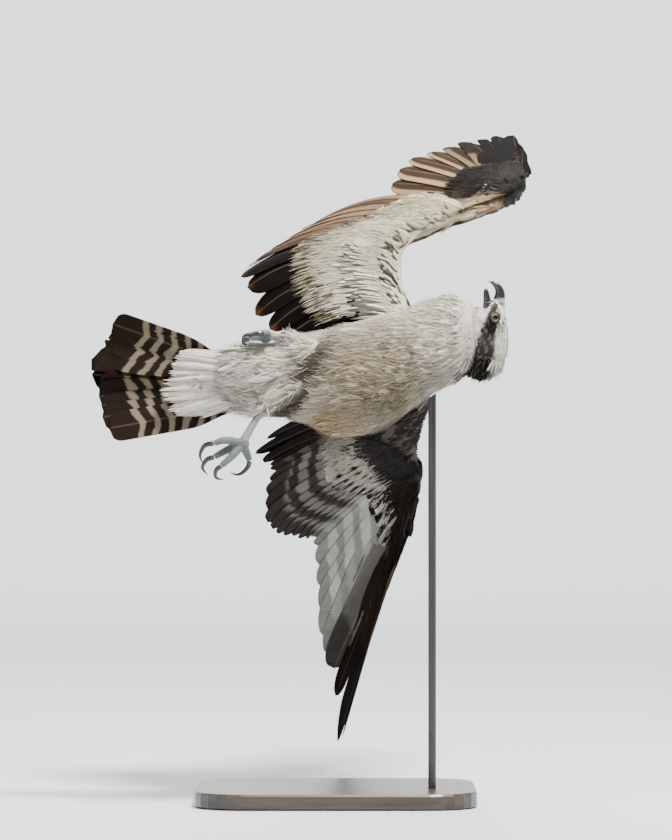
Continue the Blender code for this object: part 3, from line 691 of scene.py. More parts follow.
class Shades:
    """Builds the procedural finishes and the node groups that they share."""

    def __init__(self) -> None:
        """Make the shared node groups."""
        self.marks = self.vane_group()
        mottle = Group("Mottle", (), "Place", ("Coarse", "Fine"))
        place = mottle.inputs[0]
        self.mottle = mottle.give(mottle.noise(place, 70.0, 3.0), mottle.noise(place, 900.0, 2.0))

    @staticmethod
    def vane_group() -> Tree:
        """Bars, dark tip, shaft streak, shaft line and barb lines of a feather.

        Returns:
            Node group with the marking mask, shaft mask and barb height.
        """
        group = Group("FeatherMarks", ("Along", "Across", "Bars", "Share", "Tip", "Streak"),
                      "Place", ("Marking", "Shaft", "Barbs"))
        math = group.math
        along, across, bars, share, tip, streak, place = group.inputs[0:7]

        def where(mask: Feed, amount: Feed) -> Socket:
            """The mask, only where the feather has that mark."""
            return math("MULTIPLY", mask, math("GREATER_THAN", amount, 0.01))

        def spread(value: Feed) -> Socket:
            """Distance from a half, from 0 to 1."""
            return math("MULTIPLY", math("ABSOLUTE", math("SUBTRACT", value, 0.5)), 2.0)

        noise = group.noise(place, 45.0, 2.0)
        wobble = math("MULTIPLY", math("SUBTRACT", noise, 0.5), 0.07)
        off = spread(across)
        shifted = math("ADD", math("ADD", along, wobble), math("MULTIPLY", off, -0.035))
        turns = math("MULTIPLY", shifted, math("MULTIPLY", bars, BAR_SCALE))
        peak = spread(math("FRACT", turns))
        bar = where(group.falling(peak, math("SUBTRACT", share, 0.16), math("ADD", share, 0.16)),
                    bars)
        edge = math("SUBTRACT", 1.0, tip)
        tip_mask = where(group.smooth(shifted, math("SUBTRACT", edge, 0.03),
                                      math("ADD", edge, 0.03)), tip)
        line = where(group.falling(off, math("SUBTRACT", streak, 0.1),
                                   math("ADD", streak, 0.12)), streak)
        line = math("MULTIPLY", line, group.smooth(along, 0.2, 0.5))
        marking = math("MAXIMUM", math("MAXIMUM", bar, tip_mask), line)
        slant = math("ADD", math("MULTIPLY", along, 430.0), math("MULTIPLY", off, -95.0))
        return group.give(marking, group.falling(off, 0.035, 0.08), math("SINE", slant))

    def plumage(self, name: str, roughness: float, barb_height: float,
                gloss: float) -> Material:
        """Finish of feathers, painted from their own attributes and their Vane map, with painted
        shade at the roots.

        Args:
            name: Name of the material.
            roughness: Roughness of the feathers.
            barb_height: Height of the barb lines, in metres.
            gloss: Specular level.

        Returns:
            The material.
        """
        finish = Finish(name, self.mottle)
        math = finish.math
        row, side, _ = finish.parts(finish.node("UVMap", {}, uv_map="Vane").outputs[0])
        ground, mark, style = (
            finish.node("Attribute", {}, attribute_name=label)
            for label in ("Ground", "Mark", "Style")
        )
        bars, share, tip = finish.parts(style.outputs["Vector"])
        feeds = (row, side, bars, share, tip, style.outputs["Alpha"], finish.place)
        marks = finish.node("Group", dict(enumerate(feeds)), node_tree=self.marks)
        marking, shaft, barbs = marks.outputs[0:3]
        coarse, fine = finish.grain()
        colour = finish.mix(marking, ground.outputs["Color"], mark.outputs["Color"])
        pale = finish.mix(0.35, colour, (0.62, 0.52, 0.38))
        colour = finish.mix(math("MULTIPLY", shaft, 0.45), colour, pale)
        shade = math("MULTIPLY", finish.scaled(barbs, 0.05, 0.98),
                     finish.scaled(coarse, 0.26, 0.87))
        # Painted shade: each feather darkens to 0.82 at its root, where it lies under its
        # neighbours
        depth = finish.scaled(finish.smooth(row, 0.0, 0.4), 0.18, 0.82)
        colour = finish.dimmed(colour, math("MULTIPLY", shade, depth))
        return finish.done(
            {"Base Color": finish.deepened(colour), "Roughness": roughness,
             "Specular IOR Level": gloss},
            math("ADD", barbs, fine), barb_height)

    def skin(self, name: str) -> Material:
        """Finish of the skin under the coat, painted with the coat's own markings and painted
        shade.
        """
        finish = Finish(name, self.mottle)
        ground = finish.node("Attribute", {}, attribute_name="Ground").outputs["Color"]
        coarse, fine = finish.grain()
        # Painted shade: the coat's colours dimmed unevenly, to between a half and nine tenths,
        # under the feathers
        colour = finish.dimmed(ground, finish.scaled(coarse, 0.4, 0.5))
        return finish.done({"Base Color": finish.deepened(colour), "Roughness": 0.85}, fine,
                           0.0004)

    def horn(self, name: str, dark: RGB, pale: RGB, centre: Array,
             reach: float) -> Material:
        """Glossy horn, paler round a centre.

        Args:
            name: Name of the material.
            dark: Colour of the horn.
            pale: Colour near the centre.
            centre: World centre of the paler part, in millimetres.
            reach: Radius of the paler part, in millimetres.

        Returns:
            The material.
        """
        finish = Finish(name, self.mottle)
        centre = tuple(np.asarray(centre) * MM)
        away = finish.node("VectorMath", {0: finish.place, 1: centre}, operation="DISTANCE")
        near = finish.smooth(away.outputs["Value"], reach * 1.15 * MM, reach * 0.8 * MM)
        coarse, fine = finish.grain()
        colour = finish.dimmed(finish.mix(near, dark, pale),
                               finish.scaled(coarse, 0.5, 0.75))
        rough = finish.scaled(fine, 0.12, 0.16)
        return finish.done({"Base Color": colour, "Roughness": rough, "Coat Weight": 0.4,
                            "Coat Roughness": 0.12}, fine, 0.00012)

    def scales(self, name: str, ground: RGB, groove: RGB, pale: RGB) -> Material:
        """Rough scales of the legs and feet.

        Args:
            name: Name of the material.
            ground: Colour of the scales.
            groove: Colour between the scales.
            pale: Colour of the worn patches.

        Returns:
            The material.
        """
        finish = Finish(name, self.mottle)
        cells = finish.node("TexVoronoi", {"Vector": finish.place, "Scale": 480.0},
                            feature="DISTANCE_TO_EDGE")
        rise = finish.smooth(cells.outputs["Distance"], 0.0, 0.22)
        colour = finish.mix(finish.math("MULTIPLY", finish.grain()[0], 0.5),
                            finish.mix(rise, groove, ground), pale)
        rough = finish.scaled(rise, -0.2, 0.52)
        return finish.done({"Base Color": colour, "Roughness": rough}, rise, 0.0006)

    def iris(self, name: str, centre: Array) -> Material:
        """Yellow iris round a black pupil, under a clear gloss.

        Args:
            name: Name of the material.
            centre: World centre of the eyeball, in millimetres.

        Returns:
            The material.
        """
        finish = Finish(name, self.mottle)
        shift = finish.node("Mapping", {"Location": tuple(-np.asarray(centre) * MM),
                                        "Vector": finish.place})
        flat = finish.node("VectorMath", {0: shift.outputs[0], 1: (1.0, 0.0, 1.0)},
                           operation="MULTIPLY").outputs[0]
        radius = finish.node("VectorMath", {0: flat}, operation="LENGTH").outputs["Value"]
        rays = finish.noise(flat, 1100.0, 2.0)
        colour = finish.mix(rays, (0.50, 0.27, 0.02), (0.66, 0.42, 0.05))
        colour = finish.mix(finish.smooth(radius, 0.0052, 0.0060), colour, (0.02, 0.015, 0.01))
        colour = finish.mix(finish.smooth(radius, 0.0037, 0.0033), colour,
                            (0.004, 0.004, 0.005))
        return finish.done({"Base Color": colour, "Roughness": 0.12, "Specular IOR Level": 0.3,
                            "Coat Weight": 0.25, "Coat Roughness": 0.02})

    def wood(self, name: str) -> Material:
        """Dark stained board under satin lacquer, with its grain along X."""
        finish = Finish(name, self.mottle)
        along = finish.node("Mapping", {"Scale": (3.0, 60.0, 60.0), "Vector": finish.place})
        grain = finish.noise(along.outputs[0], 1.6, 6.0)
        fine = finish.noise(along.outputs[0], 9.0, 3.0)
        colour = finish.mix(finish.smooth(grain, 0.35, 0.65), (0.020, 0.015, 0.012),
                            (0.060, 0.042, 0.030))
        rough = finish.scaled(fine, 0.2, 0.26)
        return finish.done({"Base Color": colour, "Roughness": rough, "Coat Weight": 0.3,
                            "Coat Roughness": 0.25}, fine, 0.0002)

    def metal(self, name: str) -> Material:
        """Satin black paint on the rod."""
        finish = Finish(name, self.mottle)
        coarse, fine = finish.grain()
        colour = finish.mix(coarse, (0.018, 0.018, 0.020), (0.034, 0.034, 0.036))
        rough = finish.scaled(fine, 0.15, 0.3)
        return finish.done({"Base Color": colour, "Roughness": rough, "Coat Weight": 0.25}, fine,
                           0.00006)

    def floor(self, name: str) -> Material:
        """Plain pale floor."""
        finish = Finish(name, self.mottle)
        colour = finish.mix(finish.noise(finish.place, 3.0, 2.0), (0.70, 0.73, 0.77),
                            (0.73, 0.76, 0.80))
        return finish.done({"Base Color": colour, "Roughness": 0.9})


# Right wing: u, leading edge, feather root and feather tip, each as (x, z, depth)
RIGHT_INNER_KEYS = (
    (-2.0, (104, 112, 0), (84, 100, 10), (-50, 84, 52)),
    (0.0, (97, 146, 38), (64, 148, 62), (-84, 112, 108)),
    (1.0, (86, 170, 68), (60, 169, 95), (-101, 131, 145)),
    (2.0, (85, 196, 100), (59, 190, 120), (-114, 163, 189)),
    (3.0, (90, 215, 120), (60, 206, 138), (-121, 178, 222)),
    (4.0, (104, 229, 130), (66, 216, 145), (-118, 184, 262)),
    (8.0, (133, 242, 136), (115, 238, 148), (-84, 210, 300)),
    (11.0, (160, 251, 140), (152, 256, 150), (-44, 237, 322)),
    (12.0, (172, 254, 141), (165, 261, 151), (-28, 247, 328)),
)
RIGHT_OUTER_KEYS = (
    (12.0, (176, 252, 138), (167, 258, 146), (14, 214, 196)),
    (13.0, (188, 256, 139), (184, 264, 147), (40, 234, 218)),
    (14.0, (200, 259, 140), (200, 271, 148), (58, 254, 240)),
    (15.0, (212, 262, 142), (215, 277, 150), (64, 275, 263)),
    (16.0, (222, 264, 150), (222, 282, 158), (70, 296, 290)),
    (18.0, (231, 271, 168), (225, 287, 176), (96, 328, 346)),
    (20.0, (236, 280, 188), (227, 291, 196), (148, 342, 425)),
    (22.0, (238, 290, 208), (229, 295, 214), (188, 351, 535)),
    (23.0, (239, 295, 220), (230, 298, 222), (202, 355, 590)),
    (24.0, (240, 300, 232), (231, 300, 230), (222, 356, 590)),
    (25.0, (240, 304, 242), (232, 302, 238), (234, 340, 545)),
)

# Left wing: one surface from the body to the tip
LEFT_KEYS = (
    (-2.0, (112, 42, 0), (86, 46, 8), (-58, 0, 40)),
    (0.0, (124, 18, 55), (69, 26, 63), (-104, -44, 128)),
    (1.0, (118, 2, 100), (62, 12, 96), (-93, -55, 166)),
    (2.0, (114, -12, 145), (56, -1, 128), (-81, -58, 210)),
    (3.0, (111, -22, 180), (51, -12, 155), (-76, -64, 236)),
    (4.0, (109, -29, 205), (54, -18, 168), (-82, -76, 262)),
    (6.0, (108, -36, 235), (62, -25, 196), (-88, -114, 302)),
    (8.0, (107, -43, 262), (71, -33, 223), (-81, -138, 337)),
    (10.0, (106, -50, 288), (80, -40, 251), (-65, -146, 376)),
    (12.0, (105, -56, 308), (89, -47, 279), (-45, -149, 419)),
    (15.0, (107, -68, 330), (104, -58, 318), (-22, -160, 480)),
    (16.0, (107, -77, 337), (104, -66, 330), (-21, -186, 504)),
    (19.0, (104, -98, 352), (101, -86, 350), (-12, -274, 566)),
    (21.0, (101, -111, 366), (98, -99, 362), (-4, -314, 616)),
    (22.0, (99, -118, 373), (96, -106, 368), (-1, -346, 636)),
    (23.0, (97, -125, 379), (94, -113, 373), (2, -402, 634)),
    (24.0, (95, -132, 385), (93, -120, 378), (8, -396, 600)),
    (25.0, (93, -139, 391), (91, -127, 384), (20, -350, 538)),
)

# Tail: centre to edge on each side
TAIL_RIGHT_KEYS = (
    (-1.5, (-104, 44, 10), (-112, 44, 10), (-305, 57, 13)),
    (0.0, (-104, 48, 10), (-112, 48, 10), (-309, 75, 12)),
    (1.0, (-104, 51, 10), (-112, 51, 10), (-288, 90, 11)),
    (3.0, (-104, 56, 9), (-112, 56, 9), (-288, 104, 7)),
    (5.0, (-104, 61, 7), (-112, 61, 7), (-282, 121, 0)),
)
TAIL_LEFT_KEYS = (
    (-1.5, (-104, 47, 18), (-112, 47, 18), (-303, 76, 22)),
    (0.0, (-104, 43, 18), (-112, 43, 18), (-307, 57, 21)),
    (1.0, (-104, 38, 18), (-112, 38, 18), (-301, 42, 20)),
    (3.0, (-104, 30, 17), (-112, 30, 17), (-297, 18, 17)),
    (5.0, (-104, 20, 15), (-112, 20, 15), (-288, -11, 10)),
)

# Torso and neck rings along the body: x, z, half width (z), half depth (y), depth
BODY_RINGS = (
    (-146, 50, 26, 20, 6), (-132, 50, 38, 28, 6), (-112, 51, 45, 36, 4), (-86, 51, 49, 44, 2),
    (-56, 51, 54, 51, 0), (-26, 51, 62, 56, -1), (4, 50, 71, 60, -2), (34, 54, 76, 62, -2),
    (62, 62, 76, 62, -2), (88, 74, 70, 60, -1), (108, 86, 65, 56, 0), (128, 95, 62, 51, 0),
    (146, 101, 59, 48, 0), (160, 104, 54, 44, 0), (170, 105, 47, 38, 0),
)
HEAD_RINGS = (
    (58, 184, 9, 11), (62, 185, 17, 18), (70, 187, 23, 24), (82, 189, 27, 28),
    (98, 190, 28, 28), (114, 191, 26, 26), (128, 194, 21, 22), (138, 198, 15, 16),
    (146, 201, 11, 11), (151, 202, 9, 9),
)
EYE_AT = (199.0, 128.0)
EYE_DEPTH = 17.5
EYE_RADIUS = 7.6
WRIST = 15.5
HIPS = {"left": ((-38, 46, -30), (-90, 18, -56)), "right": ((-30, 82, -26), (-58, 101, -20))}


def arm_bulk(u: Array) -> Array:
    """Half thickness of the arm and hand at u."""
    return np.interp(u, (-2, 0, 3, 8, 15, 16, 20, 25, 27), (20, 17, 12, 8.5, 8, 7.6, 6, 3.6, 1.6))


class Modeller:
    """Shapes pieces with Blender's own operators."""

    @staticmethod
    def clear() -> None:
        """Deselect everything."""
        if bpy.context.object and bpy.context.object.mode != "OBJECT":
            bpy.ops.object.mode_set(mode="OBJECT")
        bpy.ops.object.select_all(action="DESELECT")

    @classmethod
    def take(cls, *pieces: Piece) -> None:
        """Select pieces, the first of them as the active one."""
        cls.clear()
        for piece in pieces:
            piece.select_set(True)
        bpy.context.view_layer.objects.active = pieces[0]

    @staticmethod
    def edit_all() -> None:
        """Open the active piece with everything selected."""
        bpy.ops.object.mode_set(mode="EDIT")
        bpy.ops.mesh.select_all(action="SELECT")

    @staticmethod
    def named(name: str) -> Piece:
        """The active piece, under a new name."""
        piece = bpy.context.object
        piece.name = name
        piece.data.name = name
        return piece

    @staticmethod
    def modify(piece: Piece, kind: str, **settings: object) -> None:
        """Apply one modifier with its settings."""
        modifier = piece.modifiers.new("step", kind)
        for key, value in settings.items():
            setattr(modifier, key, value)
        bpy.ops.object.modifier_apply(modifier="step")

    @classmethod
    def lofted(cls, name: str, rings: Sequence[Array]) -> Piece:
        """Closed piece made by extruding a disc from ring to ring.

        Args:
            name: Name of the piece.
            rings: Rings of equal count, in millimetres.

        Returns:
            The piece.
        """
        cls.clear()
        rings = [np.asarray(ring, float) * MM for ring in rings]
        bpy.ops.mesh.primitive_circle_add(vertices=len(rings[0]), fill_type="NGON")
        piece = cls.named(name)
        for vertex, place in zip(piece.data.vertices, rings[0]):
            vertex.co = place
        cls.edit_all()
        for before, after in zip(rings[:-1], rings[1:]):
            bpy.ops.mesh.extrude_region_move()
            shape = bmesh.from_edit_mesh(piece.data)
            moved = [v for v in shape.verts if v.select]
            start = np.array([v.co[:] for v in moved])
            gaps = np.linalg.norm(start[:, None] - before[None], axis=2)
            for vertex, k in zip(moved, gaps.argmin(axis=1)):
                vertex.co = after[k]
            bmesh.update_edit_mesh(piece.data)
        bpy.ops.mesh.select_all(action="SELECT")
        bpy.ops.mesh.normals_make_consistent(inside=False)
        bpy.ops.object.mode_set(mode="OBJECT")
        return piece

    @classmethod
    def bar(cls, name: str, path: Sequence[Array], radii: Sequence[float], sides: int = 16,
            flat: float = 1.0, side: RGB = (0.0, 1.0, 0.0), fine: int = 3) -> Piece:
        """Round or flattened bar along a smooth path.

        Args:
            name: Name of the piece.
            path: Places along it, in millimetres.
            radii: Radius at each place.
            sides: Sides of its section.
            flat: Share of the radius along side.
            side: Direction of the flattened half.
            fine: Rings between one place and the next.

        Returns:
            The piece.
        """
        places = np.arange(len(path), dtype=float)
        values = np.concatenate((np.array(path, float), np.array(radii, float)[:, None]), 1)
        at = np.linspace(0.0, places[-1], (len(path) - 1) * fine + 1)
        rows = smooth_through(places, values, at)
        ahead = unit(np.gradient(rows[:, 0:3], axis=0))
        across = unit(np.array(side) - ahead * (ahead @ np.array(side))[:, None])
        up = np.cross(ahead, across)
        turns = np.linspace(0.0, 2 * math.pi, sides, endpoint=False)
        rings = [
            row[0:3] + max(row[3], 0.15) * (
                np.cos(turns)[:, None] * a * flat + np.sin(turns)[:, None] * b
            )
            for row, a, b in zip(rows, across, up)
        ]
        return cls.lofted(name, rings)

    @classmethod
    def ball(cls, name: str, centre: Array, radii: Sequence[float], segments: int = 24,
             rings: int = 14) -> Piece:
        """Ellipsoid, at its place in its mesh."""
        cls.clear()
        bpy.ops.mesh.primitive_uv_sphere_add(segments=segments, ring_count=rings, radius=1.0)
        piece = cls.named(name)
        cls.edit_all()
        bpy.ops.transform.resize(value=tuple(r * MM for r in radii))
        bpy.ops.transform.translate(value=tuple(np.asarray(centre) * MM))
        bpy.ops.object.mode_set(mode="OBJECT")
        return piece

    @classmethod
    def fused(cls, name: str, pieces: Sequence[Piece], voxel: float,
              rounds: int) -> Piece:
        """One smooth closed piece from overlapping ones.

        Args:
            name: Name of the piece.
            pieces: Closed pieces that overlap.
            voxel: Size of the remesh, in millimetres.
            rounds: Rounds of smoothing.

        Returns:
            The fused piece.
        """
        cls.take(*pieces)
        bpy.ops.object.join()
        piece = cls.named(name)
        cls.modify(piece, "REMESH", mode="VOXEL", voxel_size=voxel * MM, use_smooth_shade=True)
        cls.modify(piece, "SMOOTH", factor=0.5, iterations=rounds)
        return piece

    @classmethod
    def finished(cls, piece: Piece, material: Material, slot: str,
                 nodes: Sequence[str] = (), levels: int = 0) -> None:
        """Smooth, dress and place a finished piece on the body.

        Args:
            piece: The piece.
            material: Its finish.
            slot: Not used.
            nodes: Solids that it stands for.
            levels: Levels of subdivision.
        """
        cls.take(piece)
        if levels:
            cls.modify(piece, "SUBSURF", levels=levels, render_levels=levels)
        bpy.ops.object.shade_smooth()
        piece.data.materials.clear()
        piece.data.materials.append(material)
        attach(piece, "root")
        if nodes:
            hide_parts(*nodes)
        LOG.info("%s: %d faces", piece.name, len(piece.data.polygons))


class Markings:
    """Where each colour of the plumage lies on the body, neck and head."""

    @staticmethod
    def flat(points: Array) -> tuple[Array, Array, Array]:
        """Picture place and depth of world places: x, z, depth."""
        depth = points[:, 1] - BODY_BACK
        spread = 1.0 + depth / VIEW_DISTANCE
        return points[:, 0] / spread, (points[:, 2] - BODY_HEIGHT) / spread, depth

    @staticmethod
    def patch(x: Array, z: Array, centre: tuple[float, float], radii: tuple[float, float],
              turn: float = 0.0, soft: float = 0.35) -> Array:
        """Share from 0 to 1 of a soft oval patch.

        Args:
            x: Picture places across.
            z: Picture places up.
            centre: Middle of the patch.
            radii: Half sizes of the patch.
            turn: Degrees that the patch is turned by.
            soft: Share of the radius over which it fades.

        Returns:
            One share for each place.
        """
        angle = math.radians(turn)
        a = (x - centre[0]) * math.cos(angle) + (z - centre[1]) * math.sin(angle)
        b = -(x - centre[0]) * math.sin(angle) + (z - centre[1]) * math.cos(angle)
        away = np.hypot(a / radii[0], b / radii[1])
        return 1.0 - step_up(away, 1.0 - soft, 1.0 + soft)

    def ground(self, points: Array, normals: Array, draw: Draw) -> Array:
        """Ground colours of the coat, with painted shade on the belly.

        Args:
            points: World places in millimetres.
            normals: Outward directions.
            draw: Seeded random numbers.

        Returns:
            One colour for each place.
        """
        x, z, depth = self.flat(points)
        rough = draw.normal(0.0, 1.0, len(x))
        colour = np.tile(np.array(WHITE), (len(x), 1))
        # Painted shade: cream over the middle of the white belly
        belly = self.patch(x, z, (30, 30), (80, 70))
        colour = mixed(colour, CREAM, 0.35 * belly)
        buff = self.patch(x, z, (14, -8), (34, 24), 0.0, 0.6)
        colour = mixed(colour, BUFF, 0.6 * buff)
        breast = self.patch(x, z, (66, 60), (62, 60), 0.0, 0.5)
        colour = mixed(colour, (0.36, 0.29, 0.20), breast * np.clip(0.62 + 0.2 * rough, 0.2, 0.95))
        neck = self.patch(x, z, (128, 98), (44, 60), 0.0, 0.4)
        colour = mixed(colour, (0.52, 0.43, 0.32), 0.4 * neck * (rough > 0.55))
        back = step_up(depth + 14 * normals[:, 1] + 3 * rough, 16.0, 34.0)
        back = back * (1.0 - step_up(x, 140.0, 175.0) * (1 - step_up(depth, 14.0, 30.0)))
        rump = np.where(x < 165.0, back, 0.0)
        colour = mixed(colour, BROWN, rump)
        colour = mixed(colour, (0.20, 0.14, 0.10), rump * (rough > 0.7))
        return self.head(colour, x, z, depth)

    def head(self, colour: Array, x: Array, z: Array, depth: Array) -> Array:
        """Black stripe through each eye and dark streaks on the crown.

        Args:
            colour: Colours so far.
            x: Picture places across.
            z: Picture places up.
            depth: Depths behind the body's plane.

        Returns:
            The colours with the head's marks.
        """
        on_head = (x > 160.0) & (z > 30.0) & (z < 165.0)
        rough = np.sin(2.3 * x + 1.7 * z) * np.sin(1.9 * z - 0.8 * x + depth)
        middle = np.interp(z, (40, 52, 90, 118, 131, 150), (178, 181, 186, 192, 197, 200))
        half = np.interp(z, (40, 52, 90, 118, 131, 140, 150), (18, 17, 13, 9, 8.5, 5, 2))
        stripe = 1.0 - step_up(np.abs(x - middle) / half + 0.12 * rough, 0.75, 1.15)
        stripe = stripe * step_up(np.abs(depth), 6.0, 11.0)
        nape = 1.0 - step_up(z, 60.0, 76.0)
        dark = np.maximum(stripe, nape * 0.92) * on_head
        colour = mixed(colour, (0.035, 0.028, 0.024), dark)
        colour = mixed(colour, (0.40, 0.36, 0.31), 0.6 * on_head * (rough > 0.45) * (z < 118.0))
        crown = on_head * (x > 208.0) * self.patch(z, depth, (104, 0), (22, 7))
        return mixed(colour, (0.06, 0.05, 0.045), 0.85 * crown)


@dataclass
class Body:
    """Skin of the whole bird and the coat over it."""

    coat_depth: float = 5.0
    voxel: float = 3.2
    sides: int = 40
    seed: int = 20

    def rings(self, keys: Sequence[tuple], up: bool) -> list[Array]:
        """Rings of a lofted form, drawn in by the depth of the coat.

        Args:
            keys: Ring sizes: body rings run along X, head rings along Z.
            up: True for head rings.

        Returns:
            Rings of places.
        """
        turns = np.linspace(0.0, 2 * math.pi, self.sides, endpoint=False)
        table = np.array(keys, float)
        order = np.arange(len(table), dtype=float)
        rows = smooth_through(order, table, np.linspace(0, order[-1], 3 * len(table)))
        rings = []
        for row in rows:
            if up:
                z, x, half_x, half_y = row
                shift = np.stack((half_x * np.cos(turns), half_y * np.sin(turns),
                                  0 * turns), axis=1)
                inset = 1.0 - 0.45 * self.coat_depth / max(half_x, 6.0)
                rings.append(seen(x, z, 0) + shift * inset)
            else:
                x, z, half_z, half_y, depth = row
                shift = np.stack((0 * turns, half_y * np.cos(turns),
                                  half_z * np.sin(turns)), axis=1)
                inset = 1.0 - self.coat_depth / max(half_y, 12.0)
                rings.append(seen(x, z, depth) + shift * inset)
        return rings

    def arm_rings(self, sheet: Sheet, start: float, end: float, cover: float) -> list[Array]:
        """Rings of an arm or hand from its leading edge to part way down the vanes.

        Args:
            sheet: The wing's surface.
            start: First place along the wing.
            end: Last place along the wing.
            cover: Share of the vanes that the flesh covers at their roots.

        Returns:
            Rings of places.
        """
        rings = []
        for u in np.linspace(start, end, int(3 * (end - start)) + 4):
            at = np.array(u)
            lead, root, _ = sheet.row(at)
            normal = sheet.normal(at, np.array(0.02))
            thick = float(arm_bulk(u)) * 0.78
            forward = lead + (root - lead) * 0.45
            inner = sheet.place(at, np.array(cover * 0.45))
            tail_end = sheet.place(at, np.array(cover))
            nose = lead + (root - lead) * 0.05
            rings.append(np.array([
                nose, forward + normal * thick * 0.8, root + normal * thick,
                inner + normal * thick * 0.7, tail_end + normal * 1.2,
                tail_end - normal * 1.2, inner - normal * thick * 0.5,
                root - normal * thick * 0.8, forward - normal * thick * 0.6,
            ]))
        return rings

    def build_skin(self, wings: dict[str, list[tuple[Sheet, float, float]]],
                   shades: Shades) -> Piece:
        """Fuse every fleshy form into one skin.

        Args:
            wings: Sheets of each wing with their first and last place.
            shades: Not used.

        Returns:
            The skin.
        """
        forms = [
            Modeller.lofted("trunk", self.rings(BODY_RINGS, False)),
            Modeller.lofted("skull", self.rings(HEAD_RINGS, True)),
            Modeller.ball("throat", seen(168, 112, 0), (19, 23, 36)),
            Modeller.ball("stub", seen(-118, 54, 12), (34, 9, 20)),
        ]
        for side in (-1, 1):
            depth = side * (EYE_DEPTH + 1.5)
            brow = [seen(207, 112, side * 14), seen(208.5, 124, depth),
                    seen(208, 134, side * 15), seen(205, 143, side * 9)]
            forms.append(Modeller.bar("brow", brow, (1.8, 3.4, 2.6, 1.4), 12))
        for hip, knee in HIPS.values():
            start = seen(*hip)
            end = seen(*knee)
            forms.append(Modeller.bar("thigh", [start, 0.5 * (start + end), end],
                                      (20, 14.5, 6.0), 20))
        for rows in wings.values():
            for sheet, start, end in rows:
                cover = 0.34 if end <= WRIST else 0.24
                forms.append(Modeller.lofted("arm", self.arm_rings(sheet, start, end, cover)))
        skin = Modeller.fused("osprey_skin", forms, self.voxel, 4)
        self.socket(skin)
        Modeller.take(skin)
        Modeller.edit_all()
        bpy.ops.uv.smart_project(angle_limit=math.radians(66), island_margin=0.004)
        bpy.ops.object.mode_set(mode="OBJECT")
        skin.data.uv_layers[0].name = "OFBake"
        return skin

    @staticmethod
    def socket(skin: Piece) -> None:
        """Press the skin in round each eyeball."""
        places = read_all(skin.data.vertices, "co", 3) / MM
        for side in (-1, 1):
            eye = seen(*EYE_AT, side * EYE_DEPTH)
            away = places - eye
            near = np.linalg.norm(away, axis=1) < EYE_RADIUS + 0.3
            push = near & (away[:, 1] * side > -2.0)
            flatwise = np.hypot(away[:, 0], away[:, 2])
            places[push, 1] = eye[1] + side * np.minimum(0.5, 6.5 - flatwise[push])
        skin.data.vertices.foreach_set("co", (places * MM).astype(np.float32).ravel())
        skin.data.update()


class Feathering(Enum):
    """Wings, by the side of the bird."""

    RIGHT = "right"
    LEFT = "left"


def colour_keys(keys: Sequence[tuple[float, RGB]], u: Array) -> Array:
    """Colours at u, read between colour keys."""
    places = [key[0] for key in keys]
    table = np.array([key[1] for key in keys])
    return np.stack([np.interp(u, places, table[:, k]) for k in range(3)], axis=-1)


@dataclass
class WingLook:
    """Colours along one wing, by feather count from the body outwards."""

    vane_ground: tuple[tuple[float, RGB], ...]
    vane_mark: tuple[tuple[float, RGB], ...]
    bars: tuple[tuple[float, float], ...]
    tips: tuple[tuple[float, float], ...]
    streaks: tuple[tuple[float, float], ...]
    covert: tuple[tuple[float, RGB], ...]
    spot: tuple[tuple[float, float], ...]
    carpal: tuple[float, float]
    reach: tuple[tuple[float, ...], tuple[float, ...]]

    def read(self, keys: tuple[tuple[float, float], ...], u: float) -> float:
        """Number at u, read between keys."""
        return float(np.interp(u, [k[0] for k in keys], [k[1] for k in keys]))


RIGHT_LOOK = WingLook(
    # Vanes: black at the body is dark brown with painted shade; brown and tan further out is their
    # own colour with painted sunlight
    vane_ground=((0, BLACK), (4, (0.035, 0.027, 0.022)), (6, (0.10, 0.07, 0.05)),
                 (8, (0.26, 0.19, 0.14)), (11, (0.33, 0.25, 0.18)), (12, (0.37, 0.30, 0.20)),
                 (18, (0.38, 0.31, 0.21)), (21, (0.25, 0.20, 0.14)), (22, BLACK), (25, BLACK)),
    vane_mark=((0, (0.16, 0.07, 0.035)), (4, (0.12, 0.06, 0.035)), (8, (0.12, 0.08, 0.06)),
               (11, (0.12, 0.085, 0.06)), (20, (0.08, 0.056, 0.042)), (22, BLACK), (25, BLACK)),
    bars=((0, 0.0), (25, 0.0)),
    tips=((0, 0.05), (4, 0.05), (11, 0.04), (12, 0.0), (20, 0.05), (22, 0.5), (25, 0.5)),
    streaks=((0, 0.0), (7, 0.0), (8, 0.3), (11, 0.4), (12, 0.5), (21, 0.6), (22, 0.0)),
    # Coverts: the olive grey from the body to the carpal patch is painted shade on white coverts
    covert=((-2, WHITE), (2, (0.66, 0.63, 0.53)), (6, (0.60, 0.58, 0.48)),
            (12, (0.66, 0.60, 0.47)), (14, (0.46, 0.36, 0.25)), (15, (0.16, 0.12, 0.09)),
            (16, (0.05, 0.042, 0.036)), (25, BLACK)),
    spot=((0, 0.3), (3, 0.15), (5, 0.06), (12, 0.05), (20, 0.5)),
    carpal=(14.6, 26.0),
    reach=((0, 2, 5, 8, 11, 12, 15, 20, 25),
           (0.70, 0.66, 0.48, 0.37, 0.34, 0.42, 0.55, 0.48, 0.27)),
)
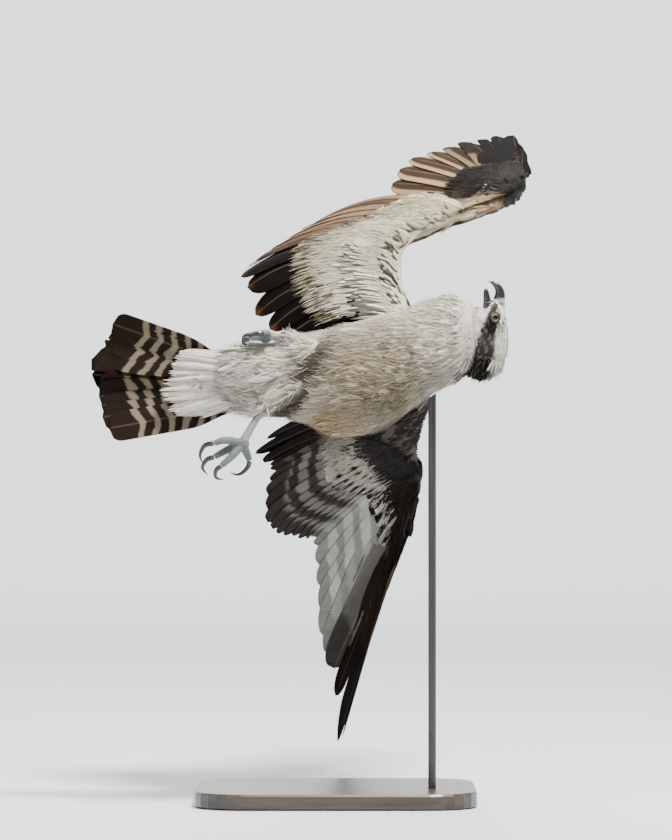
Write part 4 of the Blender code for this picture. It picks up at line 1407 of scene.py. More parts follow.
LEFT_LOOK = WingLook(
    vane_ground=((0, BLACK), (2.5, (0.045, 0.035, 0.03)), (3.5, (0.20, 0.185, 0.175)),
                 (13, (0.28, 0.275, 0.265)), (14.5, (0.44, 0.43, 0.41)),
                 (19, (0.50, 0.51, 0.50)), (20.5, (0.34, 0.33, 0.32)), (22, (0.06, 0.048, 0.04)),
                 (25, SEAL)),
    vane_mark=((0, BLACK), (4, (0.075, 0.06, 0.055)), (13, (0.11, 0.10, 0.095)),
               (15, (0.33, 0.32, 0.30)), (20, (0.33, 0.325, 0.31)), (21.5, (0.05, 0.04, 0.035)),
               (25, BLACK)),
    bars=((0, 0.0), (2.5, 0.0), (3.0, 6.0), (20, 6.0), (20.5, 0.0)),
    tips=((0, 0.0), (4, 0.2), (12, 0.16), (15, 0.1), (20, 0.1), (22, 0.35), (25, 0.4)),
    streaks=((0, 0.0), (25, 0.0)),
    covert=((-2, WHITE), (1, (0.36, 0.31, 0.26)), (3, (0.42, 0.39, 0.34)),
            (6, (0.60, 0.58, 0.52)), (12, (0.72, 0.70, 0.64)), (18, (0.66, 0.64, 0.59)),
            (20.5, (0.30, 0.28, 0.26)), (22, (0.06, 0.05, 0.045)), (25, BLACK)),
    spot=((0, 0.4), (4, 0.5), (8, 0.75), (20, 0.7), (25, 0.2)),
    carpal=(-3.0, 26.0),
    reach=((0, 4, 15, 20, 25), (0.52, 0.5, 0.46, 0.36, 0.26)),
)


# Rows of coverts from the greater ones inwards: start and end as shares of the coverts'
# reach, spacing in feathers of the wing, half width and height
COVERT_ROWS = (
    (0.2, 1.0, 0.45, 15.0, 1.6), (0.18, 0.89, 0.34, 12.0, 1.9), (0.12, 0.78, 0.31, 11.0, 2.2),
    (0.06, 0.67, 0.29, 10.0, 2.5), (0.0, 0.56, 0.28, 9.5, 2.8), (-0.05, 0.45, 0.27, 9.0, 3.1),
    (-0.1, 0.34, 0.26, 8.5, 3.4),
)
# Back of the right wing: span and first row of its cream coverts
CREAM_BACK = (3.0, 17.0)
CREAM_ROW = 3
# Underside of the right wing: end of the mottled coverts and odds of mottling by row
MOTTLED_TO = 8.5
MOTTLE_ODDS = (0.75, 0.4, 0.12, 0.0)
# Underside of the left wing: row past which coverts are dark, and middle and half width
# of the spotted rows as shares of the coverts' reach
LEFT_DARK_ROW = ((4.0, 8.5, 11.0, 18.5, 21.0), (4.3, 4.0, 2.8, 2.6, 0.2))
LEFT_SPOT_ROWS = ((0.95, 0.075), (0.72, 0.06))


@dataclass
class Wing:
    """Flight feathers and coverts of one wing, both faces."""

    side: Feathering
    look: WingLook
    rows: tuple[tuple[Sheet, int, int], ...]
    seed: int
    root_drop: float = 2.6
    down_tries: int = 16000
    down_density: float = 0.13
    batch: int = 4000

    def tones(self, us: Array, back: bool) -> list[Tone]:
        """Tones of flight feathers.

        Args:
            us: Places of the feathers along the wing.
            back: True for the upper face, which is plain dark brown.

        Returns:
            One tone a feather.
        """
        tones = []
        for u in us:
            if back:
                tones.append(Tone(BROWN, SEAL, tip=0.3))
                continue
            ground = tuple(colour_keys(self.look.vane_ground, u))
            mark = tuple(colour_keys(self.look.vane_mark, u))
            bars = self.look.read(self.look.bars, u)
            tones.append(Tone(ground, mark, bars, 0.45, self.look.read(self.look.tips, u),
                              self.look.read(self.look.streaks, u)))
        return tones

    def flight(self) -> Plumes:
        """Tertials, secondaries and primaries.

        Returns:
            The gathered feathers.
        """
        draw = np.random.default_rng(self.seed)
        plumes = Plumes("wing_" + self.side.value + "_flight_feathers")
        stations = np.concatenate((np.linspace(0.0, 0.8, 15), np.linspace(0.84, 1.0, 9)))
        blade = Blade(stations, (-1, -0.93, -0.55, -0.07, 0.0, 0.07, 0.55, 0.93, 1))
        total = sum(last - first + 1 for _, first, last in self.rows)
        done = 0
        for sheet, first, last in self.rows:
            us = np.arange(first, last + 1, dtype=float)
            finger = us >= FIRST_FINGER
            end = np.where(finger, draw.uniform(0.995, 1.0, len(us)),
                           draw.uniform(0.975, 1.0, len(us)))
            half = np.interp(us, (0, 3, 4, 15, 16, 21, 22), (26, 25, 20.5, 20.5, 22.5, 22.5, 19.5))
            half = half * draw.uniform(0.97, 1.05, len(us))
            for group, shape in ((~finger, self.plain), (finger, self.finger)):
                if not group.any():
                    continue
                points = sheet.vanes(
                    blade, us[group], np.full(group.sum(), 0.05), end[group], half[group],
                    shape, lambda u, t: self.root_drop * (step_up(t, 0.12, 0.42) - 1.0), 1.15,
                    0.45, lead_share=0.45 if group is not finger else 0.36,
                    ripple=0.7, seed=self.seed,
                )
                order = done + np.arange(group.sum())
                under = paint_rows(self.tones(us[group], False), draw, 0.06)
                over = paint_rows(self.tones(us[group], True), draw, 0.08)
                plumes.add(blade, points, strips(order, total), under, over)
                done += len(order)
        return plumes

    @staticmethod
    def plain(s: Array) -> Array:
        """Width shares of a round-tipped flight feather."""
        return leaf(s, 0.2, 0.82, 2.1)

    @staticmethod
    def finger(s: Array) -> Array:
        """Width shares of a long primary that narrows before its tip."""
        narrow = 1.0 - 0.38 * step_up(s, 0.45, 0.66)
        return leaf(s, 0.2, 0.88, 1.8) * narrow

    def core(self, u: Array, t: Array) -> Array:
        """Height of the flesh above the sheet at u and t."""
        share = np.interp(t, (-0.4, -0.05, 0.0, 0.16, 0.34, 0.5), (0.55, 0.95, 1, 0.7, 0.14, 0))
        return 0.8 * arm_bulk(u) * share

    def coverts(self) -> Plumes:
        """Rows of coverts over and under the roots of the flight feathers.

        Returns:
            The gathered feathers.
        """
        draw = np.random.default_rng(self.seed + 7)
        plumes = Plumes("wing_" + self.side.value + "_coverts")
        blade = Blade((0, 0.25, 0.55, 0.8, 0.93, 1), (-1, -0.5, 0, 0.5, 1))
        for sheet, first, last in self.rows:
            for number, (start, end, pitch, half, lift) in enumerate(COVERT_ROWS):
                for face in (1.0, -1.0):
                    top = min(last + 0.6, 24.6)
                    us = np.arange(first - 0.4, top, pitch)
                    us = us + draw.uniform(-0.15, 0.15, len(us))
                    reach = np.interp(us, *self.look.reach)
                    if face < 0:
                        reach = reach * 1.12
                    ends = reach * end * draw.uniform(0.86, 1.08, len(us))
                    starts = reach * max(start, 0.0 if face < 0 else -0.03)
                    height = lift + draw.uniform(-0.15, 0.2, len(us))

                    def rise(u: Array, t: Array, face: float = face,
                             height: Array = height) -> Array:
                        """Height of this row above the sheet."""
                        return face * (self.core(u, t) + height[:, None, None])

                    room = sheet.spacing(us, 0.5 * (starts + ends))[2]
                    points = sheet.vanes(
                        blade, us, starts, ends, np.minimum(half, 1.15 * room), self.plain, rise,
                        0.15, 0.16, ripple=0.2, seed=self.seed + number,
                    )
                    under, over = (
                        paint_rows([self.covert_tone(u, number, side, draw) for u in us],
                                   draw, 0.1)
                        for side in (1.0, -1.0)
                    )
                    bake = self.patch(us, 0.5 * (starts + ends), face)
                    plumes.add(blade, points[..., 0:3], bake, under, over, face < 0)
        return plumes

    def down(self) -> Plumes:
        """Fine soft barbs that blur the coverts of the underside.

        Returns:
            The gathered locks.
        """
        draw = np.random.default_rng(self.seed + 8)
        plumes = Plumes("wing_" + self.side.value + "_down")
        lock = Blade((0.0, 0.6, 1.0), (-1, 0, 1))
        for sheet, first, last in self.rows:
            us = draw.uniform(first - 0.6, min(last + 0.4, 24.4), self.down_tries)
            along_u, along_t = sheet.slopes(us, np.full(len(us), 0.3))
            reach = np.interp(us, *self.look.reach)
            span = np.linalg.norm(along_t, axis=1)
            area = np.linalg.norm(np.cross(along_u, along_t / span[:, None]), axis=1) * span
            chance = self.down_density * area * reach * (us.max() - us.min()) / len(us)
            kept = draw.uniform(size=len(us)) < chance
            us, reach, span = us[kept], reach[kept], span[kept]
            many = len(us)
            place = draw.uniform(-0.1, 0.9, many)
            starts = place * reach
            ends = starts + draw.uniform(12.0, 22.0, many) / span
            height = 3.3 - 1.3 * place + draw.uniform(0.0, 0.7, many)

            def rise(u: Array, t: Array, height: Array = height) -> Array:
                """Height of these locks above the sheet."""
                return self.core(u, t) + height[:, None, None]

            points = sheet.vanes(
                lock, us, starts, ends, draw.uniform(0.7, 1.3, many),
                lambda s: leaf(s, 0.6, 0.2, 1.3), rise, 0.0, 0.3,
            )
            rank = np.clip((1.0 - ends / reach) / 0.11, 0, 6).astype(int)
            tones = [replace(self.covert_tone(u, row, 1.0, draw), tip=0.0)
                     for u, row in zip(us, rank)]
            if self.side is Feathering.LEFT:
                share = ends / reach
                rows = [np.abs(share - middle) < half for middle, half in LEFT_SPOT_ROWS]
                spotted = ((us * 0.85) % 1.0 < 0.5) & np.any(rows, axis=0)
                spotted &= (us > 6.5) & (us < 20.5)
                tones = [
                    replace(tone, ground=(0.05, 0.042, 0.036)) if spot else tone
                    for tone, spot in zip(tones, spotted)
                ]
            paint = paint_rows(tones, draw, 0.06)
            over = paint_rows([self.covert_tone(u, 3, -1.0, draw) for u in us], draw, 0.06)
            plumes.add(lock, points[..., 0:3], self.patch(us, starts, 1.0), paint, over)
        return plumes

    @staticmethod
    def patch(us: Array, t: Array, face: float) -> Array:
        """Bake patches of coverts at their roots' places on the unrolled wing."""
        u = 0.02 + 0.96 * (us + 2.0) / 28.0
        return dots(u, (0.25 if face > 0 else 0.75) + 0.4 * (t - 0.25))

    def covert_tone(self, u: float, row: int, face: float, draw: Draw) -> Tone:
        """Tone of one covert.

        Args:
            u: Its place along the wing.
            row: Its row, 0 for the greater coverts.
            face: 1 on the underside, -1 on the back.
            draw: Seeded random numbers.

        Returns:
            The tone.
        """
        if face < 0:
            low, high = CREAM_BACK
            if self.side is Feathering.RIGHT and low < u < high and row >= CREAM_ROW:
                return Tone(CREAM, BROWN)
            return Tone(BROWN, SEAL, streak=0.12)
        # The right wing's olive grey covert colours are painted shade on white coverts
        ground = colour_keys(self.look.covert, u)
        low, high = self.look.carpal
        carpal = low < u < high
        dark = np.array(BLACK) * draw.uniform(1.0, 3.2)
        if self.side is Feathering.LEFT:
            if carpal and row + draw.uniform(-0.6, 0.6) > np.interp(u, *LEFT_DARK_ROW):
                ground = dark
        elif carpal and (row >= 2 or u > 16.5 or draw.uniform() < 0.5):
            ground = dark
        elif u < MOTTLED_TO and draw.uniform() < MOTTLE_ODDS[min(row, 3)]:
            ground = mixed((0.055, 0.048, 0.04), (0.42, 0.37, 0.26), draw.uniform())
        spotted = draw.uniform() < self.look.read(self.look.spot, u)
        mark = tuple(np.array(BLACK) * draw.uniform(0.9, 2.2))
        tip = draw.uniform(0.16, 0.26) if spotted and row < 4 else 0.0
        return Tone(tuple(ground), mark, tip=tip)

    def nearest(self, points: Array) -> tuple[Array, Array, Array, Array]:
        """Nearest place along the wing for world places.

        Args:
            points: World places.

        Returns:
            Distance, place u, direction towards the feather tips, and underside normal.
        """
        samples = []
        for sheet, first, last in self.rows:
            u = np.linspace(first - 1.0 if first < 0 else first, last + 0.8, 60)
            lead, root, _ = sheet.row(u)
            inner = sheet.place(u, np.full(len(u), 0.2))
            along = unit(sheet.slopes(u, np.full(len(u), 0.1))[1])
            normal = sheet.normal(u, np.full(len(u), 0.1))
            for places in (lead, 0.5 * (lead + root), root, 0.5 * (root + inner), inner):
                samples.append(np.concatenate((places, u[:, None], along, normal), axis=1))
        table = np.concatenate(samples)
        best = np.empty(len(points), dtype=int)
        gap = np.empty(len(points))
        for start in range(0, len(points), self.batch):
            part = slice(start, start + self.batch)
            distance = np.linalg.norm(points[part, None] - table[None, :, 0:3], axis=2)
            best[part] = distance.argmin(axis=1)
            gap[part] = distance.min(axis=1)
        row = table[best]
        return gap, row[:, 3], row[:, 4:7], row[:, 7:10]


# Limits of the kinds of coat, as picture places across (FROM, TO) and up, and as a depth
FLANK_FROM = 40.0
VENT_FROM = -70.0
NECK_FROM = 112.0
HEAD_FROM = 164.0
BACK_TO = 160.0
ARM_TO = 250.0
NECK_MIDDLE = 95.0
NECK_REACH = 85.0
CREST_BELOW = 78.0
BACK_DEPTH = 24.0


@dataclass
class CoatBuilder:
    """Small feathers and down over the skin."""

    wings: tuple[Wing, Wing]
    markings: Markings
    seed: int = 31
    arm_cover: float = 13.0
    back_cover: float = 30.0
    locks_each: int = 4

    def survey(self, points: Array, normals: Array) -> dict[str, Array]:
        """Kind of coat, lie and colour at places of the skin.

        Args:
            points: World places in millimetres.
            normals: Outward directions.

        Returns:
            Arrays by name: kind, flow, colour, bare.
        """
        draw = np.random.default_rng(self.seed)
        x, z, depth = self.markings.flat(points)
        ahead = np.abs(z - NECK_MIDDLE) < NECK_REACH
        head = (x > HEAD_FROM - 0.10 * np.abs(z - 100)) & ahead
        kinds = np.full(len(points), Coat.BREAST, dtype=object)
        for kind, where in (
            (Coat.FLANK, x < FLANK_FROM), (Coat.VENT, x < VENT_FROM),
            (Coat.NECK, (x > NECK_FROM) & ahead),
            (Coat.BACK, (depth > BACK_DEPTH) & (x < BACK_TO)),
            (Coat.FACE, head), (Coat.CREST, head & (z < CREST_BELOW)),
        ):
            kinds[where] = kind
        flow = np.tile(np.array((-1.0, 0.0, 0.0)), (len(points), 1))
        flow[:, 2] = -0.25 * step_up(-x, 60, 140) * (z - 50) / 60.0
        coat = {
            "kind": kinds, "bare": np.zeros(len(points), dtype=bool),
            "flow": mixed(flow, (-0.3, 0.0, -1.0), step_up(x, 150.0, 178.0)),
            "colour": self.markings.ground(points, normals, draw),
        }
        self.clothe_thighs(points, coat)
        # Painted shadow: a dark grey-brown band below the near thigh, over white feathers
        painted_thigh_shadow = self.markings.patch(x, z, (-30, 38), (84, 15), 57.0, 0.5) * (depth < 10)
        coat["colour"] = mixed(coat["colour"], (0.13, 0.105, 0.085), 0.92 * painted_thigh_shadow)
        self.clothe_arms(points, normals, coat, (x < ARM_TO) & ~head, draw)
        shoulder = step_up(0.65 * x - 43.5 - z, 0.0, 9.0) * (x > 52.0) * (x < 150.0) * ~head
        coat["colour"] = mixed(coat["colour"], SEAL, 0.94 * shoulder)
        return coat

    @staticmethod
    def clothe_thighs(points: Array, coat: dict[str, Array]) -> None:
        """Give both thighs their white feathers.

        Args:
            points: World places in millimetres.
            coat: Arrays by name, changed in place.
        """
        for hip, knee in HIPS.values():
            start = seen(*hip)
            axis = seen(*knee) - start
            share = np.clip((points - start) @ axis / (axis @ axis), 0.0, 1.0)
            gap = np.linalg.norm(points - start - share[:, None] * axis, axis=1)
            on = (gap < 25 - 12 * share) & (share > 0.2)
            coat["kind"][on] = Coat.THIGH
            coat["flow"][on] = unit(axis)
            coat["colour"][on] = np.array(WHITE) * 0.94

    def off_trunk(self, points: Array) -> Array:
        """Distance from the trunk's middle line, 1 at its surface."""
        x, z, depth = self.markings.flat(points)
        ring = np.array(BODY_RINGS, float)
        middle_z, half_z, half_y, middle_d = (
            np.interp(x, ring[:, 0], ring[:, k]) for k in range(1, 5)
        )
        return np.hypot((z - middle_z) / half_z, (depth - middle_d) / half_y)

    def clothe_arms(self, points: Array, normals: Array, coat: dict[str, Array], free: Array,
                    draw: Draw) -> None:
        """Give the skin of both wings its small feathers, and leave its edges bare.

        Args:
            points: World places in millimetres.
            normals: Outward directions.
            coat: Arrays by name, changed in place.
            free: Places where a wing may be: off the head and not past ARM_TO.
            draw: Seeded random numbers.
        """
        out = self.off_trunk(points)
        found = [wing.nearest(points) for wing in self.wings]
        closest = np.argmin([gap for gap, *_ in found], axis=0)
        thigh = np.array([kind is Coat.THIGH for kind in coat["kind"]])
        for index, (wing, (gap, u, along, normal)) in enumerate(zip(self.wings, found)):
            on = (gap < arm_bulk(u) + self.arm_cover) | ((out > 1.5) & (gap < 90.0) & ~thigh)
            on &= (closest == index) & (out > 1.05) & free
            coat["kind"][on] = Coat.ARM
            coat["flow"][on] = along[on]
            facing = (normals * normal).sum(axis=1)
            toward = (normals * along).sum(axis=1)
            coat["bare"] |= on & ((toward > 0.12) | (np.abs(facing) < 0.6) & (toward < -0.75))
            back = facing < -0.15
            if wing.side is Feathering.RIGHT:
                coat["bare"] |= on & back & (toward > -0.3)
            least = np.where(toward > 0.1, 0.35, -0.3)
            behind = (gap < arm_bulk(u) + self.back_cover) & (facing < least)
            coat["colour"][behind & free & ~thigh] = BROWN
            under, brown = (
                np.array([wing.covert_tone(place, 3, face, draw).ground for place in u[on]])
                .reshape(-1, 3) for face in (1.0, -1.0)
            )
            coat["colour"][on] = np.where(back[on][:, None], brown, under)

    def roots(self, skin: Piece) -> dict[str, Array]:
        """Draw the feathers' roots over the skin.

        Args:
            skin: The finished skin with its unwrap.

        Returns:
            Arrays by name: point, normal, bake, kind, flow, colour, bare.
        """
        draw = np.random.default_rng(self.seed + 1)
        mesh = skin.data
        mesh.calc_loop_triangles()
        corners = read_all(mesh.loop_triangles, "vertices", 3, np.int32)
        loops = read_all(mesh.loop_triangles, "loops", 3, np.int32)
        places = read_all(mesh.vertices, "co", 3) / MM
        normals = read_all(mesh.vertices, "normal", 3)
        unwrap = read_all(mesh.uv_layers["OFBake"].data, "uv", 2)
        a, b, c = (places[corners[:, k]] for k in range(3))
        area = 0.5 * np.linalg.norm(np.cross(b - a, c - a), axis=1)
        centre = (a + b + c) / 3.0
        facing = unit(np.cross(b - a, c - a))
        found = self.survey(centre, facing)
        spacing = np.array([COAT_SIZES[kind].spacing for kind in found["kind"]])
        expect = area / spacing**2
        number = np.floor(expect + draw.uniform(size=len(corners))).astype(int) * ~found["bare"]
        face = np.repeat(np.arange(len(corners)), number)
        first = np.sqrt(draw.uniform(size=len(face)))
        second = draw.uniform(size=len(face))
        weights = np.stack((1 - first, first * (1 - second), first * second), axis=1)
        point = np.einsum("fk,fki->fi", weights, places[corners[face]])
        normal = unit(np.einsum("fk,fki->fi", weights, normals[corners[face]]))
        bake = np.einsum("fk,fki->fi", weights, unwrap[loops[face]])
        result = {key: value[face] for key, value in found.items()}
        return {"point": point, "normal": normal, "bake": bake, **result}

    def build(self, skin: Piece, material: Material) -> None:
        """Set every small feather on the skin.

        Args:
            skin: The finished skin.
            material: The feathers' finish.
        """
        roots = self.roots(skin)
        draw = np.random.default_rng(self.seed + 2)
        blade = Blade((0.0, 0.3, 0.6, 0.85, 1.0), (-1, 0, 1))
        lock = Blade((0.0, 0.45, 0.8, 1.0), (-1, 0, 1))
        groups = {
            "coat_head": (Coat.FACE, Coat.CREST), "coat_neck": (Coat.NECK,),
            "coat_breast": (Coat.BREAST,), "coat_flanks": (Coat.FLANK,),
            "coat_vent": (Coat.VENT, Coat.THIGH), "coat_back": (Coat.BACK,),
            "coat_arms": (Coat.ARM,),
        }
        slots = {
            "coat_head": "head_plumage", "coat_neck": "neck_plumage",
            "coat_arms": "wing_feathers",
        }
        for name, kinds in groups.items():
            plumes = Plumes(name)
            for kind in kinds:
                pick = np.array([k is kind for k in roots["kind"]])
                if pick.any():
                    self.gather(plumes, roots, pick, COAT_SIZES[kind], blade, lock, draw)
            if plumes.count:
                plumes.build(material, slots.get(name, "belly_plumage"))

    def gather(self, plumes: Plumes, roots: dict[str, Array], pick: Array, size: CoatSize,
               blade: Blade, lock: Blade, draw: Draw) -> None:
        """Add one kind of coat: whole feathers, and locks of down.

        Args:
            plumes: Gathering that takes them.
            roots: Roots over the skin.
            pick: Which roots are of this kind.
            size: Sizes of this kind.
            blade: Grid of a feather.
            lock: Grid of a lock of down.
            draw: Seeded random numbers.
        """
        point, normal, flow, colour, bake = (
            roots[key][pick] for key in ("point", "normal", "flow", "colour", "bake")
        )
        downy = draw.uniform(size=len(point)) < size.down
        for soft in (False, True):
            chosen = np.flatnonzero(downy == soft)
            if not len(chosen):
                continue
            if soft:
                chosen = np.repeat(chosen, self.locks_each)
            many = len(chosen)
            grid = lock if soft else blade
            turn = draw.normal(0.0, 0.24 if soft else 0.13, many)
            n = normal[chosen]
            tangent = flow[chosen] - n * (flow[chosen] * n).sum(axis=1)[:, None]
            tangent = unit(tangent + 1e-6)
            across = np.cross(n, tangent)
            along = tangent * np.cos(turn)[:, None] + across * np.sin(turn)[:, None]
            across = np.cross(n, along)
            length = size.length * draw.uniform(0.75, 1.2, many)
            lift = np.radians(size.lift + size.ruffle * np.abs(draw.normal(0, 1, many)))
            if soft:
                half = draw.uniform(0.55, 1.05, many) * (size.width / 10.0) ** 0.5
                length = length * draw.uniform(0.8, 1.15, many)
                lift = lift * 1.2
            else:
                half = 0.5 * size.width * draw.uniform(0.85, 1.15, many)
            s, side, level = grid.grid()
            width = leaf(s, 0.6, 0.2, 1.3) if soft else leaf(s, 0.35, 0.55, 1.7)
            half = half[:, None, None]
            bend = draw.normal(0.0, 0.10 if soft else 0.04, many)[:, None, None]
            reach = length[:, None, None] * s
            rise = reach * lift[:, None, None] * (1.0 - 0.55 * s) - 1.2
            camber = -0.3 * side**2 * half * width
            height = rise + camber + level * 0.5 * (0.5 - 0.32 * s)
            sway = side * half * width + bend * reach * s
            places = set_out(point[chosen], (reach, along), (sway, across), (height, n))
            light = draw.normal(1.0, 0.05, many)
            ground = np.clip(colour[chosen] * light[:, None], 0.0, 0.95)
            dark = colour[chosen].mean(axis=1) < 0.25
            mark = np.where(dark[:, None], ground * 1.9 + 0.02, ground * 0.86)
            full = np.ones((many, 1))
            style = np.where(dark[:, None], (0.0, 0.0, 0.1, 0.0), (0.0, 0.0, 0.0, 0.09))
            paint = np.concatenate((ground, full, mark, full, style), axis=1)
            plumes.add(grid, places, dots(*bake[chosen].T), paint, paint)


@dataclass
class Tail:
    """Twelve barred tail feathers and the coverts round their roots."""

    seed: int = 5
    half_width: float = 18.5
    bars: float = 9.5
    farthest: float = -306.5

    def build(self) -> Plumes:
        """Gather the tail feathers.

        Returns:
            The gathered feathers.
        """
        draw = np.random.default_rng(self.seed)
        plumes = Plumes("tail_feathers")
        stations = np.concatenate((np.linspace(0.0, 0.85, 16), np.linspace(0.88, 1.0, 7)))
        blade = Blade(stations, (-1, -0.93, -0.5, -0.06, 0.0, 0.06, 0.5, 0.93, 1))
        for number, keys in enumerate((TAIL_RIGHT_KEYS, TAIL_LEFT_KEYS)):
            sheet = Sheet(keys, (0.0, 0.0, 0.0))
            us = np.arange(6, dtype=float)
            points = sheet.vanes(
                blade, us, np.full(6, 0.1), draw.uniform(0.975, 1.0, 6),
                np.full(6, self.half_width), self.shape, lambda u, t: 0.0 * t, 1.2, 0.45,
                ripple=0.6, seed=self.seed + number,
            )
            points[..., 0] = np.maximum(points[..., 0], self.farthest)
            # The middle feather of each half: dark brown, partly its own colour and partly painted
            # shade
            inner = Tone((0.085, 0.045, 0.03), BLACK, self.bars, 0.4, 0.1)
            outer = Tone((0.36, 0.31, 0.25), (0.07, 0.055, 0.045), self.bars, 0.56, 0.22)
            over = Tone((0.24, 0.17, 0.12), SEAL, self.bars, 0.5, 0.2)
            plumes.add(blade, points, strips(6 * number + np.arange(6), 12),
                       paint_rows([inner] + [outer] * 5, draw), paint_rows([over] * 6, draw))
        return plumes

    @staticmethod
    def shape(s: Array) -> Array:
        """Width shares of a tail feather."""
        return leaf(s, 0.4, 0.9, 2.4)

    def coverts(self) -> Plumes:
        """White feathers under the tail and brown ones over it.

        Returns:
            The gathered feathers.
        """
        draw = np.random.default_rng(self.seed + 9)
        plumes = Plumes("tail_coverts")
        blade = Blade((0, 0.15, 0.35, 0.55, 0.75, 0.9, 1), (-1, -0.5, 0, 0.5, 1))
        for front in (True, False):
            many = 340 if front else 110
            depth = draw.uniform(-15.0, -3.0, many) if front else draw.uniform(26, 32, many)
            z = draw.uniform(14.0, 86.0, many)
            start = np.stack([seen(-112 - 26 * draw.uniform(), 50 + 0.7 * (b - 50), c)
                              for b, c in zip(z, depth)])
            away = np.abs(z - 42.0) / 44.0
            reach = draw.uniform(-198, -150, many) - 26.0 * (1.0 - away)
            slope = np.stack([seen(a, 1.12 * b - 6 - 8 * draw.uniform(), 0.2 * c + 2)
                              for a, b, c in zip(reach, z, depth)])
            if not front:
                slope[:, 1] += 26.0
            along = unit(slope - start)
            length = np.linalg.norm(slope - start, axis=1)
            face = np.array((0.0, -1.0 if front else 1.0, 0.0)) + draw.normal(0, 0.12, (many, 3))
            across = unit(np.cross(along, face))
            normal = np.cross(across, along)
            s, side, level = blade.grid()
            half = draw.uniform(2.5, 6.5, many)[:, None, None] * leaf(s, 0.5, 0.45, 1.5)
            rise = 7.0 * s * (1 - s) - 0.15 * side**2 * half + level * 0.25
            places = set_out(start, (length[:, None, None] * s, along), (side * half, across),
                             (rise, normal))
            tone = Tone(WHITE, CREAM, streak=0.05) if front else Tone(BROWN, SEAL, streak=0.1)
            paint = paint_rows([tone] * many, draw, 0.06)
            bake = dots(0.5 + 0.2 * (z - 50) / 40, (0.25 if front else 0.75) + 0.004 * depth)
            plumes.add(blade, places, bake, paint, paint)
        return plumes


class Head:
    """Eyes, lids and bill."""

    UPPER = ((203, 140), (204, 150), (205, 158), (203, 165), (199, 169.5), (195, 172),
             (191.3, 173))
    LOWER = ((189, 139), (189, 148), (188, 156), (187.5, 162), (188, 165.3))

    def build(self, shades: Shades) -> None:
        """Make the eyes and the bill."""
        for name, side in (("eye_left", -1), ("eye_right", 1)):
            centre = seen(*EYE_AT, side * EYE_DEPTH)
            ball = Modeller.ball(name + "_globe", centre, [EYE_RADIUS - 0.1] * 3, 32, 20)
            Modeller.finished(ball, shades.iris("iris_" + name, centre), "eye", (name,))
            self.lids(name, centre, side, shades)
        upper = [seen(x, z, 0) for x, z in self.UPPER]
        cere = seen(205, 143, 0)
        horn = shades.horn("bill_horn", (0.018, 0.018, 0.022), (0.30, 0.33, 0.36), cere, 11.0)
        bill = Modeller.bar("bill_hooked", upper, (8.3, 7.5, 6.4, 5.0, 3.6, 2.0, 0.5), 20,
                            flat=0.9)
        Modeller.finished(bill, horn, "bill", ("bill_upper",), 1)
        lower = [seen(x, z, 0) for x, z in self.LOWER]
        jaw = Modeller.bar("bill_jaw", lower, (6.2, 5.2, 4.1, 2.8, 1.0), 18, flat=1.12)
        Modeller.finished(jaw, horn, "bill", ("bill_lower",), 1)

    @staticmethod
    def lids(name: str, centre: Array, side: int, shades: Shades) -> None:
        """Dark almond rim of the lids round one eye.

        Args:
            name: Name of the eye.
            centre: Centre of its globe.
            side: -1 for the left eye, 1 for the right.
            shades: The finishes.
        """
        turns = np.linspace(0.0, 2 * math.pi, 17)
        tall, wide = math.radians(47.0), math.radians(37.0)
        path = []
        for turn in turns:
            open_by = 1.0 / math.hypot(math.cos(turn) / wide, math.sin(turn) / tall)
            path.append(centre + (EYE_RADIUS + 0.3) * np.array((
                math.sin(open_by) * math.cos(turn), side * math.cos(open_by),
                math.sin(open_by) * math.sin(turn),
            )))
        rim = Modeller.bar(name + "_lids", path, [1.25] * len(path), 10)
        dark = shades.scales("lid_skin", (0.02, 0.017, 0.015), (0.01, 0.009, 0.008),
                             (0.05, 0.045, 0.04))
        Modeller.finished(rim, dark, "head_plumage", (), 1)


